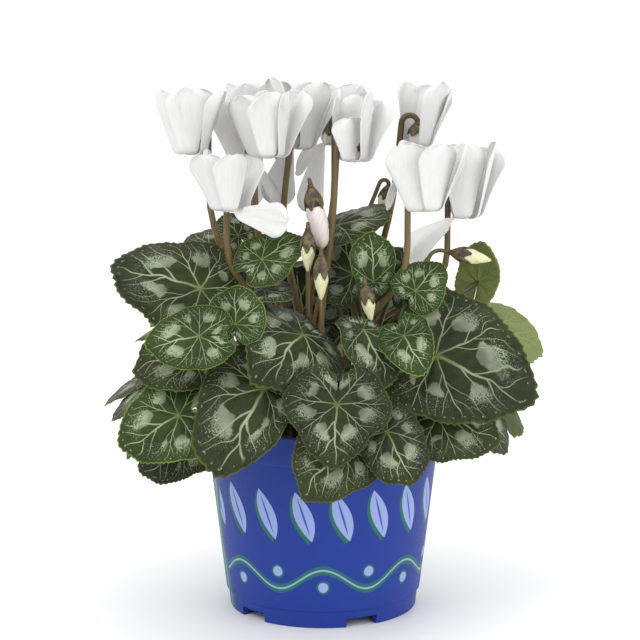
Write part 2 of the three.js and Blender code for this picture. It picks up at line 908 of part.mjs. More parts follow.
// The plant
function finish(color, roughness) {
  return new THREE.MeshStandardMaterial({ color, roughness, metalness: 0 });
}

const MATERIALS = {
  pot: finish(0x2440a8, 0.45),
  soil: finish(0x3a2a1e, 0.95),
  corm: finish(0x4a3626, 0.9),
  leaf: finish(0x35502f, 0.55),
  scape: finish(0x5c4326, 0.5),
  petal: finish(0xf4f3ee, 0.6),
  bud: finish(0xe8e4c0, 0.6),
};

const SIMPLER_BY = 0.05;
const plant = new THREE.Group();

function add(name, body, material) {
  const mesh = new THREE.Mesh(geometryOf(body.simplify(SIMPLER_BY)), MATERIALS[material]);
  mesh.name = name;
  plant.add(mesh);
}

for (const [name, flower] of Object.entries(FLOWERS)) {
  const root = rootFor(flower.ring, flower.at[0], flower.at[1], SCAPE_RADIUS);
  add(name, bloomSolid(flower), "petal");
  add(name + "_stalk", scapeSolid(flower, root), "scape");
}

for (const [name, bud] of Object.entries(BUDS)) {
  const root = rootFor(bud.ring, bud.at[0], bud.at[1], SCAPE_RADIUS);
  add(name, budSolid(bud), "bud");
  add(name + "_stalk", budStalkSolid(bud, root), "scape");
}

for (const [name, row] of Object.entries(SINGLE_LEAVES)) {
  const form = { ...LEAF_FORM, ...row };
  add(name, leafSolid(form, rootFor(form.ring, form.at[0], form.at[1], STALK_RADIUS)), "leaf");
}

// Leaves of a group share a short neck on the crown, from which their stalks spread like a fan
for (const [name, rows] of Object.entries(LEAF_GROUPS)) {
  const forms = rows.map((row) => ({ ...LEAF_FORM, ...row }));
  const middle = forms.reduce((sum, form) => sum.add(vector(form.at)), new THREE.Vector3());
  const root = rootFor(3, middle.x, middle.y, NECK_RADIUS);
  const aside = new THREE.Vector3(-root.y, root.x, 0).normalize();
  forms.sort((p, q) => vector(p.at).dot(aside) - vector(q.at).dot(aside));
  const neck = peg(NECK_RADIUS, root.z, root.z + NECK_HEIGHT, 6, root.x, root.y);
  const leaves = forms.map((form, k) => {
    const spread = (k - (forms.length - 1) / 2) * FAN_STEP;
    return leafSolid(form, root.clone().addScaledVector(aside, spread).setZ(root.z + NECK_SUNK));
  });
  add(name, joined([neck, ...leaves]), "leaf");
}

add("pot", potSolid(), "pot");
add("soil", soilSolid(), "soil");
add("corm", cormSolid(), "corm");

export default plant;
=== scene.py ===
"""The looks of a potted cyclamen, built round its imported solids.

Every table is in millimetres, in the part's own frame: +Z up, the origin on the pot's axis in the
plane that it stands on, and the plant's usual front towards -Y. Blender's pieces are in metres.
"""

import math

import bpy
import numpy as np
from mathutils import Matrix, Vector, noise


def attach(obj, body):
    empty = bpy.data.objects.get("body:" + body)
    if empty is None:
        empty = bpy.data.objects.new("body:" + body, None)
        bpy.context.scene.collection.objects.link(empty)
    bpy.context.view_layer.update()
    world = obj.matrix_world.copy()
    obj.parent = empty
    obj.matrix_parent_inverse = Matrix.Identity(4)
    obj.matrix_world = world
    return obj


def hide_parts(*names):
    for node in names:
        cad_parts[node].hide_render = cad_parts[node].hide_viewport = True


MM = 0.001
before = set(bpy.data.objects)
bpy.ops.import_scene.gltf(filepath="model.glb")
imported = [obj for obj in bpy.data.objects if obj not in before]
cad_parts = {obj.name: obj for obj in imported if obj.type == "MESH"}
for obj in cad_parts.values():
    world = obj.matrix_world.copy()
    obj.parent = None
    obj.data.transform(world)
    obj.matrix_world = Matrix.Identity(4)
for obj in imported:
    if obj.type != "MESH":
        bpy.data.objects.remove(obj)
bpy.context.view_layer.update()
rng = np.random.default_rng(7)

# Driving dimensions, as in the part's source
POT_TOP_RADIUS = 57
POT_FOOT_RADIUS = 46
POT_HEIGHT = 93
POT_WALL = 1.5
RIM_DEPTH = 14
RIM_STEP = 0.8
HEM_HEIGHT = 8
HEM_STEP = 1
FLOOR_LIFT = 4.5
PAD_RADIUS = 22
FOOT_RING_RADIUS = 40
SOIL_TOP = 82
CORM_RADIUS = 26
CORM_DEPTH = 22
CORM_TOP = 86
SOCKET_DEPTH = 3
GAP = 0.3
BLADE = 0.7
STALK_RADIUS = 1.15
SCAPE_RADIUS = 1.35
NOTCHES = 5
FIRST_NOTCH = -66
NOTCH_WIDTH = 20
DRAIN_RADIUS = 3.2
DRAIN_RING = 31

UP = np.array([0.0, 0.0, 1.0])


def unit(v):
    return np.asarray(v, float) / np.linalg.norm(v)


def lerp(a, b, t):
    return a + (b - a) * t


def smoothstep(x, low, high):
    t = np.clip((x - low) / (high - low), 0, 1)
    return t * t * (3 - 2 * t)


def turned_about(v, axis, angle):
    """v turned about a unit axis by an angle in radians."""
    c, s = math.cos(angle), math.sin(angle)
    return v * c + np.cross(axis, v) * s + axis * np.dot(axis, v) * (1 - c)


def stacked(*coordinates):
    """Points from their coordinates, each a number or an array."""
    return np.stack(np.broadcast_arrays(*coordinates), axis=-1)


def round_angles(count):
    """Angles in even steps, once round."""
    return np.linspace(0, 2 * math.pi, count, endpoint=False)


# Meshes: a piece is collected from patches, each a block of points with its faces


def linked(name, data):
    """A new object in the scene."""
    thing = bpy.data.objects.new(name, data)
    bpy.context.scene.collection.objects.link(thing)
    return thing


class Mesh:
    """Points with a plan and a tint each, which the materials read, and faces with their materials."""

    def __init__(self):
        self.points = []
        self.plans = []
        self.tints = []
        self.faces = []
        self.materials = []
        self.count = 0

    def add(self, points, groups, plan=None, tint=0.5):
        """A block of points. groups pairs each list of its faces with a material's number."""
        for faces, material in groups:
            self.faces.extend(tuple(i + self.count for i in face) for face in faces)
            self.materials.extend([material] * len(faces))
        points = np.asarray(points, float).reshape(-1, 3)
        self.points.append(points)
        self.plans.append(np.zeros_like(points) if plan is None else plan.reshape(-1, 3))
        self.tints.append(np.full(len(points), tint))
        self.count += len(points)

    def data(self, name):
        data = bpy.data.meshes.new(name)
        data.from_pydata((np.concatenate(self.points) * MM).tolist(), [], self.faces)
        return data

    def piece(self, name, materials, node):
        """A smooth-shaded object that rides on the root body and stands for its node."""
        data = self.data(name)
        data.polygons.foreach_set("material_index", self.materials)
        data.polygons.foreach_set("use_smooth", [True] * len(data.polygons))
        plan = data.attributes.new("plan", "FLOAT_VECTOR", "POINT")
        plan.data.foreach_set("vector", np.concatenate(self.plans).astype("f").ravel())
        tint = data.attributes.new("tint", "FLOAT", "POINT")
        tint.data.foreach_set("value", np.concatenate(self.tints).astype("f"))
        for material in materials:
            data.materials.append(material)
        data.validate()
        data.update()
        thing = linked(name, data)
        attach(thing, "root")
        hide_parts(node)
        return thing


def grid_faces(rows, columns, wrap=False):
    """Quads over a grid of points held row by row. wrap joins the last column to the first."""
    faces = []
    for row in range(rows - 1):
        here = row * columns
        after = here + columns
        for j in range(columns if wrap else columns - 1):
            k = (j + 1) % columns
            faces.append((here + j, here + k, after + k, after + j))
    return faces


def grid_normals(grid):
    """Unit normals of a grid of points, from its own rows and columns."""
    normal = np.cross(np.gradient(grid, axis=0), np.gradient(grid, axis=1))
    return normal / (np.linalg.norm(normal, axis=2, keepdims=True) + 1e-9)


def thin_sheet(mesh, grid, thickness, materials, plan, tint):
    """A closed thin sheet: the grid, the same grid below it, and a rim between them."""
    rows, columns = grid.shape[:2]
    below = grid - grid_normals(grid) * np.asarray(thickness)[..., None]
    n = rows * columns
    faces = grid_faces(rows, columns)
    upper = [face[::-1] for face in faces]
    lower = [tuple(i + n for i in face) for face in faces]
    ring = list(range(columns))
    ring += [i * columns + columns - 1 for i in range(1, rows)]
    ring += [(rows - 1) * columns + j for j in range(columns - 2, -1, -1)]
    ring += [i * columns for i in range(rows - 2, 0, -1)]
    rim = [(a, b, b + n, a + n) for a, b in zip(ring, ring[1:] + ring[:1])]
    groups = [(upper, materials[0]), (lower + rim, materials[1])]
    mesh.add(np.stack([grid, below]), groups, np.stack([plan, plan]), tint)


def bezier(a, b, c, d, count):
    t = np.linspace(0, 1, count)[:, None]
    return a * (1 - t) ** 3 + 3 * b * t * (1 - t) ** 2 + 3 * c * t * t * (1 - t) + d * t**3


SPLINE_STEPS = 12


def smooth_line(points, count):
    """A smooth line through given points, evenly stepped."""
    points = np.asarray(points, float)
    padded = np.concatenate([[2 * points[0] - points[1]], points, [2 * points[-1] - points[-2]]])
    t = np.linspace(0, 1, SPLINE_STEPS, endpoint=False)[:, None]
    out = []
    for i in range(len(points) - 1):
        p, q, r, s = padded[i : i + 4]
        square = 2 * p - 5 * q + 4 * r - s
        cube = 3 * q - p - 3 * r + s
        out.append(0.5 * (2 * q + (r - p) * t + square * t**2 + cube * t**3))
    line = np.concatenate(out + [points[-1:]])
    length = np.concatenate([[0], np.cumsum(np.linalg.norm(np.diff(line, axis=0), axis=1))])
    steps = np.linspace(0, length[-1], count)
    return np.stack([np.interp(steps, length, line[:, k]) for k in range(3)], axis=1)


def tube(mesh, line, radii, sides, material, tint):
    """A round stalk along a line, closed at both ends. Its plan is the share of its length."""
    line = np.asarray(line, float)
    count = len(line)
    along = np.gradient(line, axis=0)
    along /= np.linalg.norm(along, axis=1, keepdims=True)
    across = np.array([1.0, 0.0, 0.0])
    a = round_angles(sides)[:, None]
    rings = []
    for i in range(count):
        across = unit(across - along[i] * np.dot(across, along[i]))
        aside = np.cross(along[i], across)
        rings.append(line[i] + radii[i] * (np.cos(a) * across + np.sin(a) * aside))
    faces = grid_faces(count, sides, wrap=True)
    faces.append(tuple(range(sides - 1, -1, -1)))
    faces.append(tuple((count - 1) * sides + k for k in range(sides)))
    share = np.repeat(np.linspace(0, 1, count), sides)
    mesh.add(rings, [(faces, material)], stacked(share, 0, 0), tint)


def lathe(mesh, profile, segments, material=0, place=None, shape=None, plan=None, tint=0.5):
    """A turned form whose profile starts and ends on the axis.

    shape moves its points and place sets them down. plan works out the plan from the plain points.
    """
    profile = np.asarray(profile, float)
    inner = profile[1:-1]
    a = round_angles(segments)
    rings = stacked(np.outer(inner[:, 0], np.cos(a)), np.outer(inner[:, 0], np.sin(a)), inner[:, 1:2])
    poles = [[0, 0, profile[0, 1]], [0, 0, profile[-1, 1]]]
    points = np.concatenate([rings.reshape(-1, 3), poles])
    plans = plan(points) if plan else points
    if shape:
        points = shape(points)
    if place:
        points = place(points)
    rows = len(inner)
    faces = grid_faces(rows, segments, wrap=True)
    low = rows * segments
    top = low - segments
    for j in range(segments):
        k = (j + 1) % segments
        faces += [(low, k, j), (low + 1, top + j, top + k)]
    mesh.add(points, [(faces, material)], plans, tint)


# The crown's places for stalks, in rings of a radius and a count, taken as in the part's source
RINGS = [(5, 4), (11, 9), (16.8, 15), (22.4, 20)]
free_places = [list(range(places)) for _, places in RINGS]


def root_for(ring, at):
    """The foot of a stalk that goes to a point: the ring's free place that lies nearest its way."""
    reach, places = RINGS[ring]
    wanted = math.atan2(at[1], at[0])

    def apart(k):
        return abs((2 * math.pi * k / places - wanted + 5 * math.pi) % (2 * math.pi) - math.pi)

    place = min(free_places[ring], key=apart)
    free_places[ring].remove(place)
    angle = 2 * math.pi * place / places
    return np.array([reach * math.cos(angle), reach * math.sin(angle), CORM_TOP - SOCKET_DEPTH + GAP])


def stalk_line(root, end, lift, bow, toward, count):
    """A stalk's line: straight up out of its socket, bowed aside, and to its end from one side."""
    far = np.linalg.norm(end - root)
    base = root + UP * (SOCKET_DEPTH + 1)
    curve = bezier(base, base + UP * lift * far + bow, end + toward * far, end, count)
    return np.concatenate([[root], curve])


# Materials


def math_method(operation):
    """A method that adds a math node for one value or for two."""
    return lambda value, other=0.0: value.nodes.math(operation, value, other)


class Value:
    """A socket inside a material. Arithmetic with it adds the nodes that work it out."""

    def __init__(self, nodes, socket):
        self.nodes = nodes
        self.socket = socket

    __add__ = math_method("ADD")
    __sub__ = math_method("SUBTRACT")
    __mul__ = math_method("MULTIPLY")
    __truediv__ = math_method("DIVIDE")
    __abs__ = math_method("ABSOLUTE")

    def __rsub__(self, other):
        return self.nodes.math("SUBTRACT", other, self)


class Nodes:
    """A short way to lay out a material's nodes."""

    def __init__(self, name):
        self.material = bpy.data.materials.new(name)
        self.material.use_nodes = True
        self.tree = self.material.node_tree
        self.shader = self.tree.nodes["Principled BSDF"]

    def put(self, socket, value):
        """A value, a number or a colour into a socket."""
        if isinstance(value, Value):
            self.tree.links.new(value.socket, socket)
        else:
            socket.default_value = (*value, 1.0) if isinstance(value, tuple) else value

    def add(self, kind, inputs, output=0, **settings):
        """One output of a new node, or all of them where output is None."""
        node = self.tree.nodes.new("ShaderNode" + kind)
        for name, setting in settings.items():
            setattr(node, name, setting)
        for key, value in inputs.items():
            self.put(node.inputs[key], value)
        if output is None:
            return [Value(self, socket) for socket in node.outputs]
        return Value(self, node.outputs[output])

    def math(self, operation, a, b=0.0):
        return self.add("Math", {0: a, 1: b}, operation=operation)

    def ramp(self, value, low, high, start=0.0, end=1.0):
        """A smooth step from start to end as the value goes from low to high."""
        inputs = {0: value, 1: low, 2: high, 3: start, 4: end}
        return self.add("MapRange", inputs, interpolation_type="SMOOTHSTEP")

    def fall(self, value, low, high, start=1.0):
        return self.ramp(value, low, high, start, 0.0)

    def mix(self, factor, a, b, blend="MIX"):
        return self.add("Mix", {0: factor, 6: a, 7: b}, 2, data_type="RGBA", blend_type=blend)

    def coats(self, color, *coats):
        """A colour under further ones, each given after the factor that lays it on."""
        for factor, coat in coats:
            color = self.mix(factor, color, coat)
        return color

    def plan(self):
        return self.split(self.add("Attribute", {}, "Vector", attribute_name="plan"))

    def tint(self):
        return self.add("Attribute", {}, "Fac", attribute_name="tint")

    def place(self):
        return self.add("TexCoord", {}, "Object")

    def split(self, vector):
        return self.add("SeparateXYZ", {0: vector}, None)

    def join(self, x, y, z):
        return self.add("CombineXYZ", {0: x, 1: y, 2: z})

    def noise(self, vector, scale, detail=2.0, roughness=0.5):
        inputs = {"Vector": vector, "Scale": scale, "Detail": detail, "Roughness": roughness}
        return self.add("TexNoise", inputs, "Fac")

    def bump(self, height, strength, distance):
        inputs = {"Strength": strength, "Distance": distance, "Height": height}
        self.put(self.shader.inputs["Normal"], self.add("Bump", inputs))

    def finish(self, color, roughness, **constants):
        self.put(self.shader.inputs["Base Color"], color)
        self.put(self.shader.inputs["Roughness"], roughness)
        for name, value in constants.items():
            self.shader.inputs[name.replace("_", " ")].default_value = value
        return self.material


# Markings of a leaf, as shares of its reach or in millimetres
VEIN_SPACING = math.radians(48.5)
VEIN_HALF_WIDTH = 0.0145
VEIN_LEAST = 0.14
VEIN_SWAY = 0.45
VEIN_TURN = 0.22
VEIN_FORKS = [(0.32, 30), (0.58, 36)]
PATCH_REACH = 0.6
PATCH_LONG = 0.18
PATCH_WIDE = math.radians(16)
FLECK_REACH = 0.915
FLECK_COUNT = 46
YOUNGER = dict(
    dark=(0.016, 0.034, 0.006),
    grey=(0.031, 0.053, 0.012),
    olive=(0.04, 0.06, 0.01),
    silver=(0.33, 0.40, 0.25),
    vein=(0.35, 0.43, 0.23),
    rim=(0.16, 0.23, 0.02),
    rim_share=0.85,
)
OLDER = dict(
    dark=(0.012, 0.020, 0.005),
    grey=(0.030, 0.038, 0.014),
    olive=(0.032, 0.042, 0.009),
    silver=(0.30, 0.345, 0.245),
    vein=(0.315, 0.365, 0.23),
    rim=(0.09, 0.12, 0.02),
    rim_share=0.6,
)


def vein_masks(n):
    """Veins that spread like a hand from the stalk and fork, and the place within their fan."""
    x, y, share = n.plan()
    seed = n.tint()
    spot = n.join(x, y, seed * 90.0)
    sway = n.noise(spot, 0.065, 1.0) - 0.5
    radius = n.math("SQRT", x * x + y * y)
    reach = radius / n.math("MAXIMUM", share, 0.02)
    angle = n.math("ARCTAN2", y, x) + sway * VEIN_SWAY + (seed - 0.5) * VEIN_TURN
    turns = angle / VEIN_SPACING
    nearest = n.math("ROUND", turns)
    off = (turns - nearest) * VEIN_SPACING
    aside = abs(off)
    along = radius * n.math("COSINE", aside)
    across = radius * n.math("SINE", aside)
    thin = n.ramp(share, 0.0, 0.9, VEIN_HALF_WIDTH, 0.45 * VEIN_HALF_WIDTH) * reach
    midrib = n.ramp(abs(nearest), 0.2, 0.8, 1.35, 1.0)
    thin = n.math("MAXIMUM", thin * midrib, VEIN_LEAST)
    ragged = (n.noise(spot, 0.7, 2.0) - 0.5) * (thin * 0.7)
    lines = n.fall((across + ragged) / thin, 0.45, 1.25)
    lean = n.math("SIGN", off) * 0.06
    for start, degrees in VEIN_FORKS:
        tilt = math.radians(degrees)
        ahead = along - (lean + start) * reach
        gap = abs(ahead * math.sin(tilt) - across * math.cos(tilt)) + ragged
        fork = n.fall(gap / thin, 0.2, 0.95, 0.9) * n.ramp(ahead, 0.0, 0.6)
        lines = n.math("MAXIMUM", lines, fork)
    lines = lines * n.fall(share, 0.8, 0.95)
    return lines, aside, share, spot, angle


def leaf_material(name, look):
    n = Nodes(name)
    veins, aside, share, spot, angle = vein_masks(n)
    mottle = n.noise(spot, 0.3, 4.0, 0.6)
    speckle = n.noise(spot, 1.5, 2.0, 0.65)
    # Silver patches between the veins: smooth towards the stalk, ragged and speckled outwards
    out = (share - PATCH_REACH) / PATCH_LONG
    side = (aside - VEIN_SPACING / 2) / PATCH_WIDE
    oval = out * out + side * side
    outer = n.ramp(share, PATCH_REACH - 0.08, PATCH_REACH + 0.12, 0.3, 4.2)
    rough = oval + (speckle - 0.5) * outer + (mottle - 0.5) * 1.5
    missing = n.fall(n.noise(spot, 0.09, 0.0), 0.31, 0.43, 1.2)
    patch = n.fall(rough + missing, 0.7, 1.05)
    holes = n.fall(speckle, 0.44, 0.5) * n.ramp(out, -0.15, 0.5)
    patch = patch * (1.0 - holes) * n.ramp(out, -1.0, 0.2, 0.42, 1.0)
    # Flecks in a row along the edge, and a fringe of specks beyond the patches
    beat = n.math("COSINE", angle * FLECK_COUNT)
    flecks = n.fall(abs(share - FLECK_REACH), 0.006, 0.016)
    flecks = flecks * n.ramp(beat, 0.6, 0.9) * n.ramp(speckle, 0.46, 0.56)
    fringe = n.ramp(speckle, 0.57, 0.66) * n.fall(oval, 0.9, 3.4, 0.8)
    fringe = fringe * n.ramp(share, PATCH_REACH, PATCH_REACH + 0.1)
    vein = n.mix(n.ramp(share, 0.05, 0.4), (0.19, 0.225, 0.095), look["vein"])
    color = n.coats(
        look["dark"],
        (n.ramp(mottle, 0.3, 0.7), look["grey"]),
        (n.ramp(n.tint(), 0.3, 1.0, 0.0, 0.55), look["olive"]),
        (n.fall(share, 0.0, 0.4, 0.35), (0.045, 0.065, 0.02)),
        (fringe, look["silver"]),
        (flecks * 0.8, look["silver"]),
        (patch * n.ramp(mottle, 0.25, 0.6, 0.95, 0.7), look["silver"]),
        (veins * 0.85, vein),
        (n.fall(share, 0.02, 0.1, 0.6), (0.17, 0.21, 0.06)),
        (n.ramp(share, 0.972, 0.988, 0.0, look["rim_share"]), look["rim"]),
    )
    shade = n.ramp(n.noise(spot, 0.04, 1.0), 0.3, 0.7, 0.75, 1.25)
    color = n.mix(1.0, color, n.join(shade, shade, shade), "MULTIPLY")
    n.bump(mottle * 0.6 - veins * 0.8 + speckle * 0.25, 0.55, 0.0007)
    return n.finish(color, n.ramp(mottle, 0.3, 0.7, 0.42, 0.58), Specular_IOR_Level=0.16)


def leaf_under_material():
    n = Nodes("leaf, underside")
    veins, _, share, spot, _ = vein_masks(n)
    mottle = n.noise(spot, 0.5, 3.0, 0.6)
    color = n.coats(
        (0.1, 0.14, 0.035),
        (mottle, (0.2, 0.24, 0.07)),
        (veins * 0.5, (0.3, 0.32, 0.13)),
        (n.ramp(share, 0.96, 0.99, 0.0, 0.6), (0.2, 0.26, 0.06)),
    )
    n.bump(veins + mottle, 0.35, 0.0006)
    return n.finish(color, 0.6, Specular_IOR_Level=0.35)


def stalk_material(name, low, high, speck):
    """A fleshy stalk, one colour at its foot and another at its end, streaked along."""
    n = Nodes(name)
    share = n.plan()[0]
    place = n.place()
    x, y, z = n.split(place)
    streak = n.noise(n.join(x, y, z * 0.08), 900.0, 3.0, 0.6)
    blot = n.noise(place, 160.0, 3.0, 0.6)
    color = n.coats(
        low,
        (n.ramp(share, 0.0, 1.0), high),
        (n.ramp(streak, 0.35, 0.75, 0.0, 0.6), speck),
        (n.ramp(blot, 0.5, 0.75, 0.0, 0.45), low),
    )
    n.bump(streak + blot, 0.3, 0.0003)
    return n.finish(color, 0.42, Specular_IOR_Level=0.45)


def petal_material(name, base):
    """White with fine darker streaks, partly veins and partly painted shade in its folds, with clouds, and
    the base's colour where the petal starts.
    """
    n = Nodes(name)
    x, y, share = n.plan()
    seed = n.tint() * 60.0
    # The darker streaks are partly the petal's own veins and partly painted shade in its folds
    streak = n.noise(n.join(y, x * 0.12, seed), 1.3, 3.0, 0.55)
    cloud = n.noise(n.join(x, y, seed), 0.12, 2.0)
    color = n.coats(
        (0.675, 0.675, 0.67),
        (n.ramp(streak, 0.35, 0.7, 0.0, 0.5), (0.60, 0.60, 0.605)),
        (n.ramp(cloud, 0.4, 0.7, 0.0, 0.35), (0.69, 0.685, 0.68)),
        (n.fall(share, 0.0, 0.22, 0.6), base),
    )
    n.bump(streak, 0.2, 0.0005)
    glow = dict(Subsurface_Weight=0.2, Subsurface_Radius=(1.0, 0.95, 0.92), Subsurface_Scale=0.0015)
    return n.finish(color, 0.62, Specular_IOR_Level=0.3, **glow)


def bud_material(name, pale, deep):
    n = Nodes(name)
    x, y, share = n.plan()
    streak = n.noise(n.join(x * 3.0, share * 0.8, y), 1.5, 3.0)
    tip = n.ramp(share, 0.72, 1.0, 0.0, 0.5)
    color = n.coats(pale, (n.ramp(streak, 0.35, 0.7), deep), (tip, (0.62, 0.6, 0.33)))
    n.bump(streak, 0.35, 0.0004)
    return n.finish(color, 0.5, Subsurface_Weight=0.2, Subsurface_Scale=0.002)


def calyx_material():
    n = Nodes("calyx")
    place = n.place()
    share = n.plan()[2]
    blot = n.noise(place, 330.0, 3.0, 0.65)
    fine = n.noise(place, 1200.0, 2.0, 0.6)
    color = n.coats(
        (0.045, 0.022, 0.02),
        (n.ramp(blot, 0.42, 0.6), (0.13, 0.11, 0.035)),
        (n.ramp(fine, 0.5, 0.7, 0.0, 0.35), (0.08, 0.05, 0.03)),
        (n.ramp(share, 0.75, 1.0, 0.0, 0.5), (0.05, 0.025, 0.02)),
    )
    n.bump(fine, 0.3, 0.0003)
    return n.finish(color, 0.5)


def soil_material():
    n = Nodes("moist peat")
    place = n.place()
    crumbs = n.noise(place, 420.0, 5.0, 0.7)
    patches = n.noise(place, 60.0, 3.0)
    color = n.coats(
        (0.012, 0.008, 0.005),
        (n.ramp(crumbs, 0.35, 0.65), (0.085, 0.05, 0.028)),
        (n.ramp(patches, 0.55, 0.75, 0.0, 0.5), (0.12, 0.08, 0.05)),
    )
    n.bump(crumbs, 0.8, 0.001)
    return n.finish(color, 0.95, Specular_IOR_Level=0.2)


def corm_material():
    n = Nodes("corky skin")
    crust = n.noise(n.place(), 260.0, 5.0, 0.7)
    color = n.mix(n.ramp(crust, 0.35, 0.68), (0.035, 0.02, 0.012), (0.17, 0.105, 0.06))
    n.bump(crust, 0.7, 0.001)
    return n.finish(color, 0.88, Specular_IOR_Level=0.25)


# The pot's print, in millimetres up its wall and along it
PRINT_RADIUS = 51.0
PRINT_LEAVES = 18
PRINT_LEAF_HEIGHT = 55.0
PRINT_LEAF_HALF = (4.3, 12.0)
PRINT_RIB_HALF = (0.5, 9.5)
PRINT_LEAF_LEAN = 0.3
SHADOW_DROP = 1.5
SHADOW_TURN = 0.028
VINE_HEIGHT = 24.0
VINE_SWING = 5.0
VINE_BENDS = 14
BAND_ANGLES = (-166, 14)


def pot_material():
    """Royal blue moulded plastic with a printed ring of leaf shapes and a green vine below it."""
    n = Nodes("blue plastic print")
    x, y, z = n.split(n.place())
    angle = n.math("ARCTAN2", y, x)
    high = z * (1 / MM)

    def from_nearest(count, turned):
        """The way along the wall from the nearest of a count of marks, which may be turned."""
        spacing = 2 * math.pi / count
        turns = (angle + turned) / spacing
        return (turns - n.math("ROUND", turns)) * spacing * PRINT_RADIUS

    def leaf_shapes(height, half, turned=0.0):
        """1 inside a ring of leaning leaf shapes, 0 outside."""
        rise = high - height
        run = from_nearest(PRINT_LEAVES, turned) + rise * PRINT_LEAF_LEAN
        tall = rise / half[1]
        waist = 1.0 - tall * tall
        gap = abs(run) - n.math("MAXIMUM", waist, 0.001) * half[0]
        return n.fall(gap, -0.15, 0.15) * n.math("GREATER_THAN", waist, 0.01)

    green = (0.015, 0.13, 0.10)
    pale = (0.28, 0.36, 0.66)

    def outlined(color, gap, edge, core):
        """A pale mark in a green one. Each fades between two distances from the mark's middle."""
        return n.coats(color, (n.fall(gap, *edge), green), (n.fall(gap, *core), pale))

    color = n.coats(
        (0.007, 0.03, 0.24),
        (n.noise(n.place(), 30.0, 2.0), (0.010, 0.038, 0.28)),
        (leaf_shapes(PRINT_LEAF_HEIGHT - SHADOW_DROP, PRINT_LEAF_HALF, SHADOW_TURN), green),
        (leaf_shapes(PRINT_LEAF_HEIGHT, PRINT_LEAF_HALF), pale),
        (leaf_shapes(PRINT_LEAF_HEIGHT, PRINT_RIB_HALF), (0.03, 0.07, 0.40)),
    )
    # A vine that winds round the pot, with a berry in each of its bends
    wave = n.math("SINE", angle * (VINE_BENDS / 2)) * VINE_SWING
    above = high - VINE_HEIGHT
    color = outlined(color, abs(above - wave), (2.0, 2.4), (0.3, 0.6))
    run = from_nearest(VINE_BENDS, -math.pi / VINE_BENDS)
    rise = above + wave * 0.7
    berry = n.math("SQRT", run * run + rise * rise)
    color = outlined(color, berry, (3.2, 3.5), (2.3, 2.6))
    # Wavy bands that run up the wall
    for degrees in BAND_ANGLES:
        run = (angle - math.radians(degrees)) * PRINT_RADIUS
        band = abs(run - n.math("SINE", high * 0.12) * 1.6)
        color = outlined(color, band, (5.0, 5.5), (0.5, 0.8))
    scuff = n.noise(n.place(), 900.0, 3.0, 0.6)
    n.bump(scuff, 0.06, 0.0003)
    return n.finish(color, n.ramp(scuff, 0.3, 0.7, 0.42, 0.54), Specular_IOR_Level=0.28)


LEAF_OLDER = leaf_material("leaf, older", OLDER)
LEAF_YOUNGER = leaf_material("leaf, younger", YOUNGER)
LEAF_UNDER = leaf_under_material()
PETIOLE = stalk_material("leaf stalk", (0.045, 0.03, 0.015), (0.06, 0.062, 0.02), (0.08, 0.055, 0.025))
SCAPE = stalk_material("flower stalk", (0.14, 0.093, 0.03), (0.06, 0.04, 0.018), (0.2, 0.14, 0.05))
PETAL_WHITE = petal_material("petal", (0.66, 0.63, 0.52))
PETAL_TUBE = petal_material("petal, tube", (0.66, 0.52, 0.52))
BUD_CREAM = bud_material("bud", (0.74, 0.72, 0.47), (0.62, 0.62, 0.34))
BUD_BLUSH = bud_material("bud, opening", (0.74, 0.70, 0.69), (0.68, 0.60, 0.59))
CALYX = calyx_material()
SOIL = soil_material()
CORM = corm_material()
POT = pot_material()

# Leaves. The table is the one of the part's source, apart from the sides or backs of four leaves and from
# what shows only here: heart narrows a leaf towards its tip, full is its size beside its solid's, and
# young and underside_up choose its colours
LEAF_FORM = dict(
    side=0.74, back=0.66, dome=0.14, fold=0, droop=0.06, wave=0.035, skew=0, lean=0, heart=0.09, full=1,
    ring=3, lift=0.5, reach=0.35, bow=0, young=False, underside_up=False,
)
SINUS = math.radians(172)
SINUS_CLOSED = 1.03
CORNER_START = math.radians(148)
CORNER_CUT = 0.3
TIP_POINT = 0.05
TIP_WIDTH = 0.16
LEAF_WAVES = 3
RIDGE_ROUND = 0.1
NECK_RADIUS = 3.2
NECK_HEIGHT = 7
NECK_TAPER = (1, 1, 1, 0.97, 0.9, 0.8, 0.6, 0.3)
NECK_SUNK = 2
FAN_STEP = 1.1
PETIOLE_CLIMB = 0.8
PETIOLE_SLOPE = 0.45
# Spokes, rings and teeth of a blade
SINGLE_BLADE = (240, 18, 60)
BUNCH_BLADE = (140, 11, 35)
TOOTH = 0.029
EDGE_THICKNESS = 0.3
# Lumps of the outline: height, number round the leaf, and how far the leaf's seed turns them
LEAF_LUMPS = [(0.018, 6, 30), (0.012, 11, 70)]
QUILTING = 0.0396
FRILL = 0.008
# The numbers of a leaf's materials
OLD_FACE, YOUNG_FACE, UNDER_FACE, STALK_FACE = range(4)
LEAF_MATERIALS = (LEAF_OLDER, LEAF_YOUNGER, LEAF_UNDER, PETIOLE)


def leaf(at, tip, face, **own):
    """A row of the table: where the stalk ends, the blade's tip, the way it faces, and its own form."""
    return {**LEAF_FORM, "at": at, "tip": tip, "face": face, **own}


def leaf_reach(form, a):
    """How far the blade reaches at an angle from its tip, as a share of its length."""
    forward = np.abs(a) < math.pi / 2
    heart = 1 - form["heart"] * np.where(forward, np.sin(2 * a) ** 2, 0)
    end = np.where(forward, 1.0, form["back"])
    corner = 1 - CORNER_CUT * smoothstep(np.abs(a), CORNER_START, SINUS) ** 2
    tip = TIP_POINT * np.exp(-((a / TIP_WIDTH) ** 2))
    oval = lerp(form["side"], end, np.cos(a) ** 2)
    return (oval * heart + tip) * corner * (1 - form["lean"] * np.sin(a))


